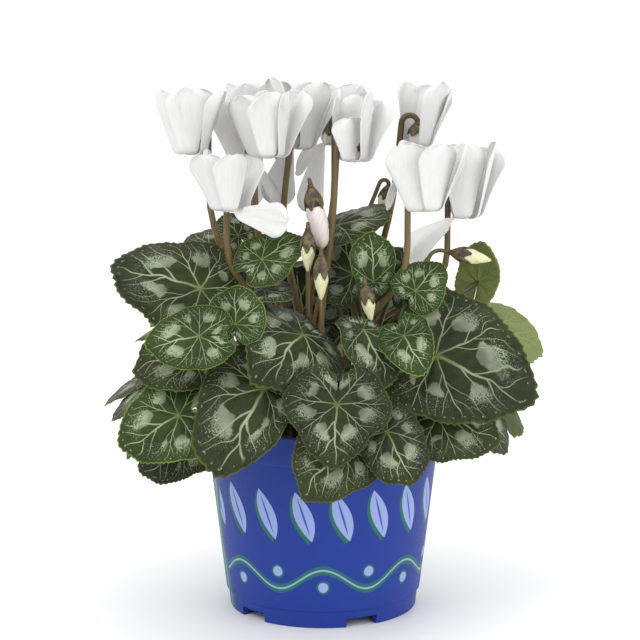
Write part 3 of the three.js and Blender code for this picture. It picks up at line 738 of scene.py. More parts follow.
def leaf_rise(form, x, y, share, a):
    """How far the blade rises out of its flat plan, as a share of its length."""
    ridge = np.hypot(y, RIDGE_ROUND) - RIDGE_ROUND
    drop = form["dome"] * (x * x + y * y) + form["droop"] * np.maximum(0, x) ** 3
    ripple = form["wave"] * share**3 * np.sin(LEAF_WAVES * a + form["at"][0])
    return form["fold"] * ridge - drop + ripple + form["skew"] * y * np.abs(y)


def leaf_axes(form):
    """The blade's place, its three axes and its length, so that the bent blade's tip is at the row's."""
    at = np.array(form["at"], float)
    along = np.array(form["tip"], float) - at
    span = np.linalg.norm(along)
    along /= span
    aside = unit(np.cross(form["face"], along))
    out = np.cross(along, aside)
    reach = float(leaf_reach(form, 0.0))
    bend = math.atan2(-float(leaf_rise(form, reach, 0, 1, 0)), reach)
    along = turned_about(along, aside, -bend)
    out = turned_about(out, aside, -bend)
    return at, along, aside, out, span / reach * math.cos(bend) * form["full"]


def add_leaf(mesh, form, root, blade):
    at, along, aside, out, length = leaf_axes(form)
    spokes, rings, teeth = blade
    share = 1 - (1 - np.linspace(0, 1, rings + 1)) ** 1.35
    share[0] = 0.002
    around = np.linspace(-SINUS, SINUS, spokes + 1) * SINUS_CLOSED
    s, a = np.meshgrid(share, around, indexing="ij")
    seed = rng.random()
    saw = 2 * np.abs((a * teeth / (2 * SINUS) + 0.25) % 1 - 0.5) - 0.5
    uneven = 1 + 0.5 * np.sin(a * 17 + seed * 40)
    tooth = 1 + TOOTH * saw * uneven * s**9
    lumps = sum(size * np.sin(a * count + seed * turn) for size, count, turn in LEAF_LUMPS)
    r = s * leaf_reach(form, a) * tooth * (1 + lumps * s**4)
    x, y = r * np.cos(a), r * np.sin(a)
    rise = leaf_rise(form, x, y, s, a)
    # Soft quilting between the veins, and a frilled edge
    rise = rise - QUILTING * np.cos(a / VEIN_SPACING * 2 * math.pi) * s * (1 - s)
    rise = rise + FRILL * np.sin(a * 19 + seed * 20) * s**6
    grid = at + (along * x[..., None] + aside * y[..., None] + out * rise[..., None]) * length
    thickness = np.where(s > 0.99, EDGE_THICKNESS, BLADE * 0.8)
    faces = (YOUNG_FACE if form["young"] else OLD_FACE, UNDER_FACE)
    if form["underside_up"]:
        faces = faces[::-1]
    thin_sheet(mesh, grid, thickness, faces, stacked(x * length, y * length, s), seed)
    toward = (out * PETIOLE_CLIMB + along * PETIOLE_SLOPE) * -form["reach"]
    line = stalk_line(root, at - out * BLADE / 2, form["lift"], aside * form["bow"], toward, 20)
    tube(mesh, line, np.linspace(1.05, 0.85, len(line)) * STALK_RADIUS, 8, STALK_FACE, seed)


SINGLE_LEAVES = {
    "leaf_front_low": leaf([9, -83, 97], [-9, -93, 75], [0, -0.9, 0.45], bow=-16, lift=0.35, reach=0.5),
    "leaf_front_mid": leaf(
        [6, -86, 116], [4, -98, 91], [0, -0.95, 0.3], side=0.88, back=0.82, heart=0.17, full=1.06
    ),
    "leaf_front_right": leaf(
        [28, -82, 103], [39, -90, 80], [0.2, -0.9, 0.4], side=0.6, back=0.68, heart=0
    ),
    "leaf_front_left": leaf(
        [-26, -69, 119.5], [-47, -85, 82.5], [-0.1, -0.9, 0.4], side=0.52, back=0.5, heart=0.12, lean=0.22
    ),
    "leaf_centre": leaf(
        [-9, -50, 140], [-30, -77, 124.5], [0, -0.8, 0.6],
        side=0.7, dome=0.3, skew=-0.3, full=1.05, bow=8, lift=0.35,
    ),
    "leaf_centre_right": leaf(
        [18, -51, 142.5], [24, -70, 126], [0.4, -0.7, 0.4],
        side=0.4, back=0.42, full=1.3, lift=0.7, reach=0.2, bow=-24, ring=2,
    ),
    "leaf_right_folded": leaf(
        [36, -59, 141.5], [45, -75, 126.5], [-0.2, -0.8, 0.5],
        side=0.56, back=0.6, fold=0.25, wave=0.06, lift=0.7, reach=0.2, young=True,
    ),
    "leaf_right_big": leaf(
        [51, -48, 130], [95, -50, 109], [0.2, -0.8, 0.5], back=0.5, lean=-0.1, ring=2
    ),
    "leaf_right_top": leaf(
        [42, -34, 157], [55, -26, 168], [0, -0.8, 0.5], back=0.42, lift=0.35, reach=0.2, ring=2, young=True
    ),
    "leaf_right_low": leaf([52, -48, 102], [81, -46, 90], [0.2, -0.7, 0.6]),
    "leaf_left_big": leaf(
        [-56, -31, 157.5], [-98, -27, 167], [-0.1, -0.6, 0.8], lift=0.35, reach=0.2, ring=2
    ),
    "leaf_left_mid": leaf(
        [-55, -71, 143.5], [-78, -67, 139], [-0.1, -0.8, 0.5],
        side=0.66, back=0.76, full=1.05, lift=0.35, young=True,
    ),
    "leaf_left_small": leaf(
        [-39, -62, 147], [-38, -57, 162], [0, -1, 0.3],
        side=0.8, back=0.56, dome=-0.2, heart=0, full=1.12, young=True,
    ),
    "leaf_upper_left": leaf(
        [-28, -30, 171], [-9, -20, 180], [0, -0.55, 0.8], side=0.68, bow=24, lift=0.7, ring=2, young=True
    ),
    "leaf_left_low": leaf([-65, -60, 105], [-91, -58, 90], [-0.2, -0.8, 0.5], full=1.05, young=True),
    "leaf_left_lowest": leaf([-60, -50, 91], [-84, -48, 75], [-0.2, -0.7, 0.6], side=0.62, reach=0.2),
    "leaf_middle_left": leaf([-27, -30, 156.5], [-14, -41, 154.5], [0, -0.4, 0.9], ring=2),
}

LEAF_GROUPS = {
    "leaves_left": [
        leaf([-59, -46, 130], [-86, -48, 122], [-0.2, -0.6, 0.7]),
        leaf([-81, -4, 113], [-103, -4, 97], [-0.6, -0.1, 0.8], side=0.4),
        leaf([-78, -22, 111], [-98, -24, 94], [-0.6, -0.1, 0.7], side=0.4),
        leaf([-75, 6, 133], [-89, 10, 125], [-0.4, 0, 0.9]),
        leaf([-81, -12, 89], [-92, -16, 74], [-0.7, -0.3, 0.6], side=0.5, lift=0.7, reach=0.2),
    ],
    "leaves_right": [
        leaf([72, -20, 101], [85, -22, 77], [0.7, -0.5, 0.5], side=0.6),
        leaf([84, 12, 101], [92, 20, 76], [0.8, 0.3, 0.5]),
        leaf([80, 2, 134], [104, 4, 119], [0.4, -0.5, 0.75], underside_up=True),
        leaf([73, 6, 154], [74, 4, 174], [0.6, 0.7, 0.3], side=0.64),
    ],
    "leaves_middle": [
        leaf([14, -12, 161], [8, 2, 179], [0, -0.8, 0.5], full=1.15),
        leaf([23, -28, 160], [22, -22, 183], [0, -0.9, 0.2], side=0.34, back=0.3, fold=0.3, young=True),
        leaf([7, 2, 182], [31, -10, 187], [0, -0.4, 0.9], bow=24, lift=0.35, reach=0.5),
        leaf([35, -5, 156.5], [45, 10, 169], [0.2, -0.7, 0.6], reach=0.2),
    ],
    "leaves_upper_left": [
        leaf([-40, 14, 175], [-49, 22, 183], [-0.1, -0.6, 0.8]),
        leaf([-51, 20, 167], [-64, 34, 172], [-0.3, -0.3, 0.9]),
    ],
    "leaves_back_left": [
        leaf([-60, 50, 140], [-80, 66, 120], [-0.4, 0.4, 0.8]),
        leaf([-30, 56, 149], [-40, 84, 131], [-0.2, 0.5, 0.8], lift=0.7, reach=0.2),
        leaf([-50, 60, 110], [-66, 80, 88], [-0.4, 0.6, 0.6], full=1.2),
        leaf([-10, 70, 112], [-12, 92, 86], [0, 0.8, 0.5], full=1.1),
        leaf([-10, 46, 126], [-11, 38, 149], [0, -0.9, 0.35], lift=0.35, full=1.35),
    ],
    "leaves_back_right": [
        leaf([7, 60, 156], [10, 92, 142], [0, 0.5, 0.8]),
        leaf([40, 58, 148], [55, 84, 130], [0.3, 0.5, 0.8]),
        leaf([66, 42, 140], [88, 60, 122], [0.4, 0.3, 0.8]),
        leaf([35, 68, 110], [46, 88, 86], [0.3, 0.7, 0.5], full=1.1),
        leaf([22, 52, 124], [24, 44, 147], [0, -0.9, 0.35], lift=0.35, full=1.35),
    ],
}

# Flowers. Places, leans and hooks are the ones of the part's source, and the forms of the petals too,
# apart from flower_low_left and flower_right_low. Petals without a form of their own are fuller here and
# lap each other less, and all of them lean further back, are longer and are less even
PETAL = {"open": 11, "length": 32, "width": 17, "lap": 28, "twist": 6, "curl": 0.1}
PETAL_STEP = 60
PETAL_START = 140
PETAL_LIP = 0.2
PETAL_CUP = 0.16
PETAL_FULL = 1.26
PETAL_LAP = 0.5
PETAL_LEAN = (0, 0.13)
PETAL_GRID = (36, 19)
PETAL_FOOT = 0.29
PETAL_CROWN = 0.7
PETAL_THICKNESS = (0.3, 0.65)
# The seeded draws: spans of opening and lap in degrees and of curl, and ranges of length and width
OPEN_SPAN = 11
LAP_SPAN = 24
CURL_SPAN = 0.35
LENGTH_RANGE = (1.03, 1.16)
WIDTH_RANGE = (0.92, 1.04)
# Waves across a petal and along its edge, in millimetres, and of its tip, as a share of its length
CUP_WAVE = 0.9
EDGE_WAVE = 2.1
TIP_WAVE = 0.032
TUBE_RADIUS = 3.6
HOOK_SIDE = 7.6
HOOK_TOP = 11
CALYX_LOW = 8
CALYX_SPAN = (4.4, 10.2)
SEPAL_GRID = (12, 9)
SEPAL_WIDTH = 0.56
SEPAL_THICKNESS = 0.35
CROOK = [[6, 16], [2, 14.5], [0, 11], [0, 4]]
FLORAL_TUBE = [
    [0, 2.2],
    [1.6, 1.6],
    [2.3, 0.5],
    [3, -0.2],
    [TUBE_RADIUS, 0.1],
    [TUBE_RADIUS + 0.3, 1.4],
    [TUBE_RADIUS + 0.35, 3],
    [TUBE_RADIUS, 5],
    [3, CALYX_LOW - GAP],
    [0, CALYX_LOW - GAP],
]

FLOWERS = {
    "flower_far_left": dict(at=[-60, -12, 217], side=20, ring=2, bow=[0, 17]),
    "flower_left_back": dict(
        at=[-37, 8, 212], lean=[-0.04, 0], side=-60, ring=1, petals={0: dict(open=150, length=26)}
    ),
    "flower_left_front": dict(at=[-25, -16, 216], side=150, ring=1),
    "flower_middle_left": dict(
        at=[-13, 10, 217], lean=[0.12, 0], side=250, ring=0, bow=[-6, 12], lift=0.6,
        petals={3: dict(open=165, length=28)},
    ),
    "flower_middle": dict(
        at=[4, 32, 216], side=280, ring=0, bow=[-18, 18], lift=0.6,
        petals={3: dict(open=160), 4: dict(open=116, length=21, lap=50)},
    ),
    "flower_middle_right": dict(
        at=[13, -14, 214], lean=[0.05, 0], side=200, ring=0, bow=[-6, -18],
        form=dict(open=9), petals={0: dict(length=22)},
    ),
    "flower_low_left": dict(
        at=[-43, -28, 193], side=100, ring=1, bow=[18, -6], lift=0.6,
        form=dict(open=8, length=28, full=1.12), petals={3: dict(open=98, length=26, lap=75)},
    ),
    "flower_right_low": dict(
        at=[46, -28, 193], side=180, ring=1, bow=[-6, 0], lift=0.6,
        form=dict(open=14, length=34, full=1.34),
    ),
    "flower_right_high": dict(
        at=[43, 4, 219], lean=[0.1, 0], side=180, ring=1, bow=[-6, 12], lift=0.25,
        petals={0: dict(open=150, lap=45)},
    ),
    "flower_far_right": dict(
        at=[65, 4, 185], side=150, ring=1, bow=[-6, 12], lift=0.6,
        form=dict(open=12, length=37, width=19), petals={0: dict(open=115, length=30, lap=60)},
    ),
    "flower_back": dict(at=[-29, 36, 216], side=0, ring=1, petals={1: dict(open=150)}),
}

# Buds, each with its own length, radius and calyx height
BUDS = {
    "bud_opening": dict(
        at=[-4, -20, 194], lean=[-0.2, 0], side=90, bow=[-18, -12], lift=0.6,
        length=20, radius=4.2, calyx=9, ring=1, blush=True,
    ),
    "bud_left": dict(
        at=[-7, -34, 178], side=90, bow=[-6, 0], lift=0.25, length=12, radius=3.4, calyx=7, ring=2
    ),
    "bud_middle": dict(at=[-1, -40, 167], side=90, length=13, radius=3.4, calyx=7, ring=2),
    "bud_right": dict(
        at=[20, -40, 155], lean=[-0.15, 0], side=90, lift=0.25, length=11, radius=3.2, calyx=6, ring=2
    ),
    "bud_far_right": dict(
        at=[65, -12, 170], lean=[-5, 0], sideways=True, side=180, bow=[8, -26], lift=0.25,
        length=13, radius=3.6, calyx=6, ring=2,
    ),
    "bud_young": dict(
        at=[29, 16, 193.5], lean=[0.4, 0], side=180, bow=[6, -18], lift=0.4,
        length=7, radius=2.6, calyx=5, ring=2,
    ),
}
# A bud's radius at stations from its calyx to its tip, as shares of its full radius
BUD_STATIONS = [0, 0.12, 0.3, 0.6, 0.82, 0.94, 1]
BUD_CLOSED = [0.9, 0.96, 0.94, 0.68, 0.4, 0.24, 0.08]
BUD_OPENING = [0.95, 1.02, 1.08, 1.04, 0.8, 0.5, 0.08]
# How far the petals of a bud wind round it, in fifths of a turn, and how high they stand off each other
BUD_WIND = 2.4
BUD_RIDGE = 0.11


def flower_axes(flower, further=(0, 0)):
    """A flower's place, its axis and the way to the gap between petals in which its hook stands."""
    lean = flower.get("lean", [0, 0])
    up = unit([lean[0] + further[0], lean[1] + further[1], 1])
    a = math.radians(flower["side"])
    gapward = np.array([math.cos(a), math.sin(a), 0.0])
    gapward = unit(gapward - up * np.dot(gapward, up))
    return np.array(flower["at"], float), up, gapward


def placed(at, up):
    """A function that sets points made standing at the origin on an axis."""
    turn = Vector((0, 0, 1)).rotation_difference(Vector(up.tolist())).to_matrix()
    matrix = np.array(turn)
    return lambda points: points @ matrix.T + at


def petal_width(s):
    """A wedge with a broad rounded top, as a share of the petal's full width."""
    widening = np.clip((s - 0.06) / 0.72, 0, 1)
    crown = (1 - np.clip((s - PETAL_CROWN) / (1.002 - PETAL_CROWN), 0, 1) ** 2.7) ** 0.5
    return float(lerp(PETAL_FOOT, 1, widening) * crown)


def add_petal(mesh, flower, form, degrees_from_gap, seed):
    """A petal that turns over its lip and sweeps back, laid out in rows from its foot to its tip."""
    at, up, gapward = flower_axes(flower, PETAL_LEAN)
    outward = turned_about(gapward, up, math.radians(degrees_from_gap))
    sideways = np.cross(up, outward)
    rows, columns = PETAL_GRID
    even = np.linspace(0, 1, rows)
    stations = lerp(even, np.sin(even * math.pi / 2), 0.6)
    t = np.linspace(-1, 1, columns)
    curl = form["curl"] + CURL_SPAN * (seed - 0.45)

    def pitch_at(s):
        lip = min(s / PETAL_LIP, 1)
        return math.radians(lerp(PETAL_START, form["open"], lip)) + curl * max(s - PETAL_LIP, 0)

    grid = np.zeros((rows, columns, 3))
    plan = np.zeros((rows, columns, 3))
    centre = np.array([TUBE_RADIUS - 0.9, 0.9])
    before = 0.0
    for i, s in enumerate(stations):
        aim = pitch_at((s + before) / 2)
        step = (s - before) * form["length"]
        centre = centre + np.array([math.sin(aim), math.cos(aim)]) * step
        before = s
        p = at + outward * centre[0] + up * centre[1]
        pitch = pitch_at(s)
        face = outward * math.cos(pitch) - up * math.sin(pitch)
        run = outward * math.sin(pitch) + up * math.cos(pitch)
        spin = math.radians(form["lap"] + form["twist"] * s) * min(s / PETAL_LIP, 1)
        across = turned_about(sideways, run, spin)
        face = turned_about(face, run, spin)
        wide = petal_width(s)
        half = form["width"] / 2 * form["full"] * wide * lerp(*WIDTH_RANGE, seed)
        cup = -PETAL_CUP * half * t**2 + CUP_WAVE * np.sin(t * 3.4 + seed * 9) * s * wide
        ripple = EDGE_WAVE * s**3 * np.sin(t * 5 + s * 4 + seed * 25) * np.abs(t) * wide
        notch = TIP_WAVE * form["length"] * s**6 * np.cos(t * 5 + seed * 12) * wide
        grid[i] = p + across * (t * half)[:, None] + face * (cup + ripple)[:, None] + run * notch[:, None]
        plan[i] = stacked(s * form["length"], t * half, s)
    edge = np.minimum(1 - np.abs(t)[None, :], 1 - stations[:, None])
    thickness = lerp(*PETAL_THICKNESS, np.clip(edge * 3, 0, 1))
    thin_sheet(mesh, grid[:, ::-1], thickness[:, ::-1], (0, 0), plan[:, ::-1], seed)


def build_flower(name, flower):
    at, up, _ = flower_axes(flower)
    mesh = Mesh()
    for k in range(5):
        own = flower.get("petals", {}).get(k, {})
        form = {**PETAL, **flower.get("form", {}), **own}
        form["full"] = 1 if own else form.get("full", PETAL_FULL)
        form["lap"] *= 1 if own else PETAL_LAP
        form["open"] += OPEN_SPAN * (rng.random() - 0.5)
        form["lap"] += LAP_SPAN * (rng.random() - 0.5)
        form["length"] *= lerp(*LENGTH_RANGE, rng.random())
        add_petal(mesh, flower, form, 180 + (k - 2) * PETAL_STEP, rng.random())

    def fluted(points):
        swell = 1 + 0.05 * np.cos(5 * np.arctan2(points[:, 1], points[:, 0]))
        return points * stacked(swell, swell, 1)

    def plan(points):
        return stacked(points[:, 0], points[:, 1], 0.1)

    lathe(mesh, FLORAL_TUBE, 30, 1, placed(at, up), fluted, plan, 0.3)
    mesh.piece(name + "_bloom", (PETAL_WHITE, PETAL_TUBE), name)


def scape_line(flower, root, side, top, low):
    """The stalk's line: up from the crown, over its hook and down into the calyx."""
    at, up, gapward = flower_axes(flower)
    if flower.get("sideways"):
        points = CROOK
        toward = gapward * 0.3
    else:
        r = side / 2
        points = [[side, -16], [side, 0], [side, top - 1]]
        for degrees in (30, 60, 90, 120, 150):
            a = math.radians(degrees)
            points.append([r + r * math.cos(a), top - 1 + r * math.sin(a)])
        points += [[0, top - 1], [0, low + 0.8]]
        toward = up * -0.35
    upper = [at + gapward * x + up * z for x, z in points]
    bow = np.array([*flower.get("bow", [0, 0]), 0.0])
    rise = stalk_line(root, upper[0], flower.get("lift", 0.4), bow, toward, 14)
    return np.concatenate([rise[:-1], smooth_line(upper, 40)])


def add_calyx(mesh, place, low, high, radius, top_radius, seed):
    """Five pointed sepals that clasp the bud or the tube, joined in a cup under the stalk."""
    rows, columns = SEPAL_GRID
    share, aside = np.meshgrid(np.linspace(0, 1, rows), np.linspace(-1, 1, columns), indexing="ij")
    z = high - (high - low) * share
    swell = np.sin(np.clip(share * 1.35, 0, 1) * math.pi / 2)
    r = top_radius + (radius - top_radius) * swell + 0.14 * (1 - aside**2)
    spread = 2 * math.pi / 5 * SEPAL_WIDTH * np.clip((1 - share) * 1.9, 0, 1) ** 0.7
    for k in range(5):
        angle = 2 * math.pi * (k + seed) / 5 + aside * np.maximum(spread, 0.02)
        grid = place(stacked(r * np.cos(angle), r * np.sin(angle), z))
        thin_sheet(mesh, grid, SEPAL_THICKNESS, (1, 1), stacked(share, aside, share), seed)
    profile = [[0, high - 1.6], [top_radius * 0.9, high - 1.5], [top_radius, high]]
    profile += [[1.5, high + 0.9], [0, high + 1]]
    lathe(mesh, profile, 20, 1, place)


def build_scape(name, flower, root):
    at, up, _ = flower_axes(flower)
    mesh = Mesh()
    line = scape_line(flower, root, HOOK_SIDE, HOOK_TOP, CALYX_LOW)
    radii = SCAPE_RADIUS * np.interp(np.linspace(0, 1, len(line)), [0, 0.7, 1], [1.12, 1.08, 0.9])
    tube(mesh, line, radii, 10, 0, rng.random())
    add_calyx(mesh, placed(at, up), *CALYX_SPAN, TUBE_RADIUS + 0.75, 1.7, rng.random())
    mesh.piece(name + "_scape", (SCAPE, CALYX), name + "_stalk")


def build_bud(name, bud, root):
    at, up, _ = flower_axes(bud)
    place = placed(at, up)
    r, length, high = bud["radius"], bud["length"], bud["calyx"]
    blush = bud.get("blush", False)
    seed = rng.random()
    t = np.linspace(0, 1, 26)
    swell = np.interp(t, BUD_STATIONS, BUD_OPENING if blush else BUD_CLOSED)
    profile = [[0, -length]] + [[r * w, -length * s] for s, w in zip(t[::-1], swell[::-1])] + [[0, 0]]

    def around_and_down(points):
        return np.arctan2(points[:, 1], points[:, 0]), -points[:, 2] / length

    def furled(points):
        """Petals wound round each other in a spiral, as shallow overlapping ridges."""
        a, down = around_and_down(points)
        wind = (a * 5 / (2 * math.pi) + down * BUD_WIND) % 1
        lift = 1 + BUD_RIDGE * (wind - 0.5) * np.clip(down * 5, 0, 1)
        return points * stacked(lift, lift, 1)

    def plan(points):
        a, down = around_and_down(points)
        return stacked(a + down * 3, np.cos(a), down)

    mesh = Mesh()
    lathe(mesh, profile, 60, 0, place, furled, plan, seed)
    mesh.piece(name + "_furl", (BUD_BLUSH if blush else BUD_CREAM,), name)
    stalk = Mesh()
    line = scape_line(bud, root, r + 1.9, high + 1, high - 1.5)
    tube(stalk, line, np.linspace(1.1, 0.95, len(line)), 10, 0, seed)
    sepals = 0.08 if blush else 0.27
    add_calyx(stalk, place, -sepals * length, high, r + 0.35, 1.25, seed)
    # The cup that the sepals grow from
    cup = [[0, -0.2], [r * 0.92, 0], [r * 0.95, 0.3 * high], [r * 0.6, 0.75 * high], [1.2, high], [0, high]]
    lathe(stalk, cup, 24, 1, place)
    stalk.piece(name + "_scape", (SCAPE, CALYX), name + "_stalk")


# The pot, its soil and the corm
POT_SEGMENTS = 192
CORNER_ROUND = 0.5
NOTCH_REACH = (49, 39)
SHARP_EDGE = math.radians(50)
CRUMBS = 420
CRUMB_SIZES = (0.5, 1.5)
HEAP_HEIGHT = 2
HEAP_RUN = 14
FLOOR_TOP = FLOOR_LIFT + POT_WALL
RIM_LOW = POT_HEIGHT - RIM_DEPTH


def outer_radius(z):
    return lerp(POT_FOOT_RADIUS, POT_TOP_RADIUS, z / POT_HEIGHT)


def rounded(points, radius, steps=4):
    """A profile with each corner rounded off."""
    points = [np.array(p, float) for p in points]
    out = [points[0]]
    for before, corner, after in zip(points, points[1:], points[2:]):
        reach = min(radius, 0.4 * np.linalg.norm(corner - before), 0.4 * np.linalg.norm(after - corner))
        a = corner + unit(before - corner) * reach
        b = corner + unit(after - corner) * reach
        for t in np.linspace(0, 1, steps):
            out.append(a * (1 - t) ** 2 + 2 * corner * t * (1 - t) + b * t**2)
    out.append(points[-1])
    return out


def cutter(mesh, corners, low, high):
    """An upright prism from its corners in plan, for a cut."""
    n = len(corners)
    points = [[x, y, z] for z in (low, high) for x, y in corners]
    faces = [tuple(range(n))[::-1], tuple(range(n, 2 * n))]
    faces += [(i, (i + 1) % n, n + (i + 1) % n, n + i) for i in range(n)]
    mesh.add(points, [(faces, 0)])


def on_circle(radius, angles, centre=(0, 0)):
    return [(centre[0] + radius * math.cos(a), centre[1] + radius * math.sin(a)) for a in angles]


def pot_cuts():
    """The drain notches of the foot ring, with a drain hole beside each."""
    cuts = Mesh()
    for k in range(NOTCHES):
        start = FIRST_NOTCH - NOTCH_WIDTH / 2 + 360 / NOTCHES * k
        angles = [math.radians(start + NOTCH_WIDTH * t / 6) for t in range(7)]
        outer, inner = NOTCH_REACH
        cutter(cuts, on_circle(outer, angles) + on_circle(inner, angles[::-1]), -1, FLOOR_LIFT)
        centre = on_circle(DRAIN_RING, [math.radians(start + 180 / NOTCHES)])[0]
        cutter(cuts, on_circle(DRAIN_RADIUS, round_angles(20), centre), -1, FLOOR_TOP + 1)
    return linked("cuts", cuts.data("cuts"))


def build_pot():
    inner_step = RIM_STEP + POT_WALL
    profile = [
        [0, 0],
        [PAD_RADIUS, 0],
        [PAD_RADIUS + 1, FLOOR_LIFT],
        [FOOT_RING_RADIUS, FLOOR_LIFT],
        [FOOT_RING_RADIUS + 1, 0],
        [POT_FOOT_RADIUS - HEM_STEP - RIM_STEP, 0],
        [outer_radius(HEM_HEIGHT) - HEM_STEP - RIM_STEP, HEM_HEIGHT],
        [outer_radius(HEM_HEIGHT) - RIM_STEP, HEM_HEIGHT + 0.6],
        [outer_radius(RIM_LOW) - RIM_STEP, RIM_LOW],
        [outer_radius(RIM_LOW), RIM_LOW + 0.8],
        [POT_TOP_RADIUS, POT_HEIGHT],
        [POT_TOP_RADIUS - inner_step + 0.6, POT_HEIGHT],
        [outer_radius(FLOOR_TOP) - inner_step, FLOOR_TOP],
        [PAD_RADIUS - 1, FLOOR_TOP],
        [PAD_RADIUS - 2, POT_WALL],
        [0, POT_WALL],
    ]
    mesh = Mesh()
    lathe(mesh, rounded(profile, CORNER_ROUND), POT_SEGMENTS)
    pot = mesh.piece("pot_moulding", (POT,), "pot")
    tool = pot_cuts()
    boolean = pot.modifiers.new("cut", "BOOLEAN")
    boolean.operation = "DIFFERENCE"
    boolean.solver = "EXACT"
    boolean.object = tool
    bpy.context.view_layer.update()
    evaluated = pot.evaluated_get(bpy.context.evaluated_depsgraph_get())
    cut_mesh = bpy.data.meshes.new_from_object(evaluated)
    pot.modifiers.remove(boolean)
    pot.data = cut_mesh
    bpy.data.objects.remove(tool)
    pot.data.set_sharp_from_angle(angle=SHARP_EDGE)


def crumb(mesh, centre, radius, seed):
    """A small uneven lump of soil."""
    profile = [[0, -1], [0.6, -0.8], [1, -0.1], [0.8, 0.6], [0, 0.9]]

    def lumpy(points):
        bumps = np.sin(points[:, :1] * 5 + seed * 9) * np.cos(points[:, 1:2] * 4 + seed * 5)
        return points * (1 + 0.3 * bumps)

    lathe(mesh, np.array(profile) * radius, 7, 0, lambda p: p + centre, lumpy)


def build_soil():
    inner_step = RIM_STEP + POT_WALL + GAP
    floor = FLOOR_TOP + GAP
    inner = outer_radius(SOIL_TOP) - inner_step

    def heap(r):
        """The soil's height, which falls off towards the wall, measured from its foot there."""
        return HEAP_HEIGHT * float(smoothstep(inner - r, 0, HEAP_RUN))

    steps = np.linspace(inner - 0.5, CORM_RADIUS + 0.6, 26)
    profile = [[0, POT_WALL + GAP], [PAD_RADIUS - 2.4, POT_WALL + GAP], [PAD_RADIUS - 1.4, floor]]
    profile += [[outer_radius(floor) - inner_step, floor]]
    profile += [[r, SOIL_TOP - HEAP_HEIGHT + heap(r)] for r in steps]
    bed = CORM_TOP - CORM_DEPTH - GAP
    profile += [[CORM_RADIUS + GAP, SOIL_TOP - 8], [CORM_RADIUS * 0.6, bed], [0, bed]]

    def heaped(points):
        out = points.copy()
        for p in out:
            if p[2] > SOIL_TOP - 3:
                q = Vector((p[0] * 0.22, p[1] * 0.22, 3.0))
                p[2] += 1.1 * noise.noise(q) + 0.6 * noise.noise(q * 3)
        return out

    mesh = Mesh()
    lathe(mesh, profile, 150, 0, None, heaped)
    for _ in range(CRUMBS):
        a = rng.random() * 2 * math.pi
        r = math.sqrt(lerp((CORM_RADIUS + 2) ** 2, (inner - 2) ** 2, rng.random()))
        z = SOIL_TOP - 1.8 + heap(r)
        size = lerp(*CRUMB_SIZES, rng.random() ** 2)
        crumb(mesh, np.array([r * math.cos(a), r * math.sin(a), z + size * 0.4]), size, rng.random())
    mesh.piece("soil_fill", (SOIL,), "soil")


def build_corm():
    steps = np.linspace(CORM_RADIUS - 1.5, 1.5, 18)
    profile = [[0, CORM_TOP - CORM_DEPTH], [CORM_RADIUS * 0.6 - GAP, CORM_TOP - CORM_DEPTH]]
    profile += [[CORM_RADIUS * 0.85, SOIL_TOP - 13], [CORM_RADIUS - 0.3, SOIL_TOP - 8]]
    profile += [[CORM_RADIUS - 0.6, CORM_TOP - 3]]
    profile += [[r, CORM_TOP - 0.9 * (r / CORM_RADIUS) ** 8 - 0.3] for r in steps]
    profile += [[0, CORM_TOP - 0.3]]

    def knobbly(points):
        out = points.copy()
        for i, p in enumerate(points):
            q = Vector((p[0] * 0.16, p[1] * 0.16, p[2] * 0.16))
            out[i] = p * (1 + 0.008 * noise.noise(q * 2))
            if p[2] > CORM_TOP - 3:
                out[i, 2] = p[2] - 0.5 + 0.5 * noise.noise(q * 3)
        return out

    mesh = Mesh()
    lathe(mesh, profile, 96, 0, None, knobbly)
    mesh.piece("corm_tuber", (CORM,), "corm")


# The plant, in the order in which the stalks take their places
for name, flower in FLOWERS.items():
    root = root_for(flower["ring"], flower["at"])
    build_flower(name, flower)
    build_scape(name, flower, root)

for name, bud in BUDS.items():
    build_bud(name, bud, root_for(bud["ring"], bud["at"]))

for name, form in SINGLE_LEAVES.items():
    mesh = Mesh()
    add_leaf(mesh, form, root_for(form["ring"], form["at"]), SINGLE_BLADE)
    mesh.piece(name + "_blade", LEAF_MATERIALS, name)

for name, rows in LEAF_GROUPS.items():
    forms = [{**row, "heart": 0} for row in rows]
    root = root_for(3, np.sum([form["at"] for form in forms], axis=0))
    aside = unit([-root[1], root[0], 0])
    forms.sort(key=lambda form: float(np.dot(form["at"], aside)))
    mesh = Mesh()
    neck = [root + UP * h for h in np.linspace(0, NECK_HEIGHT + 1.5, len(NECK_TAPER))]
    tube(mesh, neck, NECK_RADIUS * np.array(NECK_TAPER), 16, STALK_FACE, 0.2)
    for k, form in enumerate(forms):
        spread = (k - (len(forms) - 1) / 2) * FAN_STEP
        add_leaf(mesh, form, root + aside * spread + UP * NECK_SUNK, BUNCH_BLADE)
    mesh.piece(name + "_bunch", LEAF_MATERIALS, name)

build_pot()
build_soil()
build_corm()

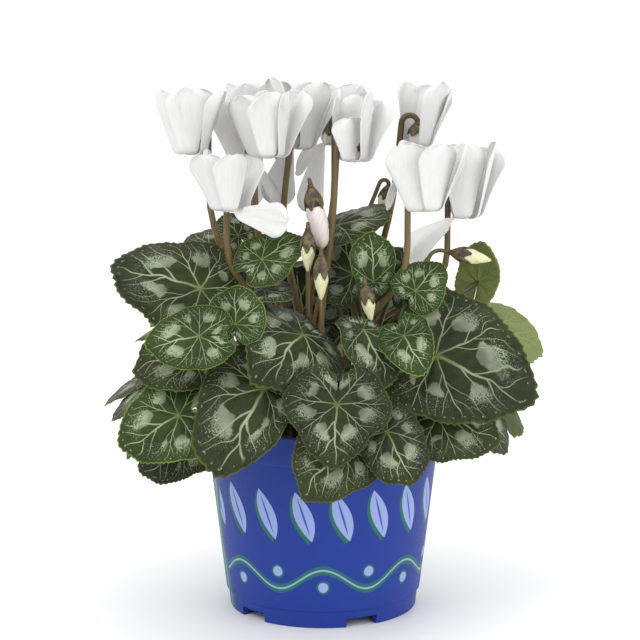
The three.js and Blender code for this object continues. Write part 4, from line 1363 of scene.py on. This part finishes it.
# The camera, at the photograph's viewing angle
CAMERA_DISTANCE = 1200
CAMERA_ELEVATION = math.radians(11)
AIM = (-1.5, 0, 137)
camera_data = bpy.data.cameras.new("camera")
camera_data.lens = 143.6
camera_data.sensor_width = 36
camera_data.clip_end = 20
camera = linked("camera", camera_data)
back = CAMERA_DISTANCE * math.cos(CAMERA_ELEVATION)
above = CAMERA_DISTANCE * math.sin(CAMERA_ELEVATION)
camera.location = Vector((AIM[0], AIM[1] - back, AIM[2] + above)) * MM
camera.rotation_euler = (math.pi / 2 - CAMERA_ELEVATION, 0, 0)
bpy.context.scene.camera = camera

# Soft studio lights: name, place, size in metres and power
LIGHTS = [
    ("key", (-700, -900, 1100), 0.7, 5.2),
    ("fill", (900, -700, 600), 0.9, 3.4),
    ("back", (200, 1000, 900), 0.8, 3),
]
LIT_POINT = Vector((0, 0, 140)) * MM
for name, place, size, power in LIGHTS:
    lamp = bpy.data.lights.new(name, "AREA")
    lamp.shape = "DISK"
    lamp.size = size
    lamp.energy = power
    light = linked(name, lamp)
    light.location = Vector(place) * MM
    light.rotation_euler = (LIT_POINT - light.location).to_track_quat("-Z", "Y").to_euler()

world = bpy.data.worlds.new("studio")
bpy.context.scene.world = world
world.use_nodes = True
background = world.node_tree.nodes["Background"]
background.inputs["Color"].default_value = (1, 1, 1, 1)
background.inputs["Strength"].default_value = 1.16
bpy.context.scene.view_settings.view_transform = "Standard"

# A pale floor, its half side in metres
FLOOR = 6.0
floor_mesh = bpy.data.meshes.new("floor")
corners = [(-FLOOR, -FLOOR, 0), (FLOOR, -FLOOR, 0), (FLOOR, FLOOR, 0), (-FLOOR, FLOOR, 0)]
floor_mesh.from_pydata(corners, [], [(0, 1, 2, 3)])
floor = linked("floor", floor_mesh)
floor_nodes = Nodes("pale floor")
grain = floor_nodes.noise(floor_nodes.place(), 3.0)
floor_color = floor_nodes.mix(grain, (0.86, 0.86, 0.86), (0.88, 0.88, 0.88))
floor_mesh.materials.append(floor_nodes.finish(floor_color, 0.7))
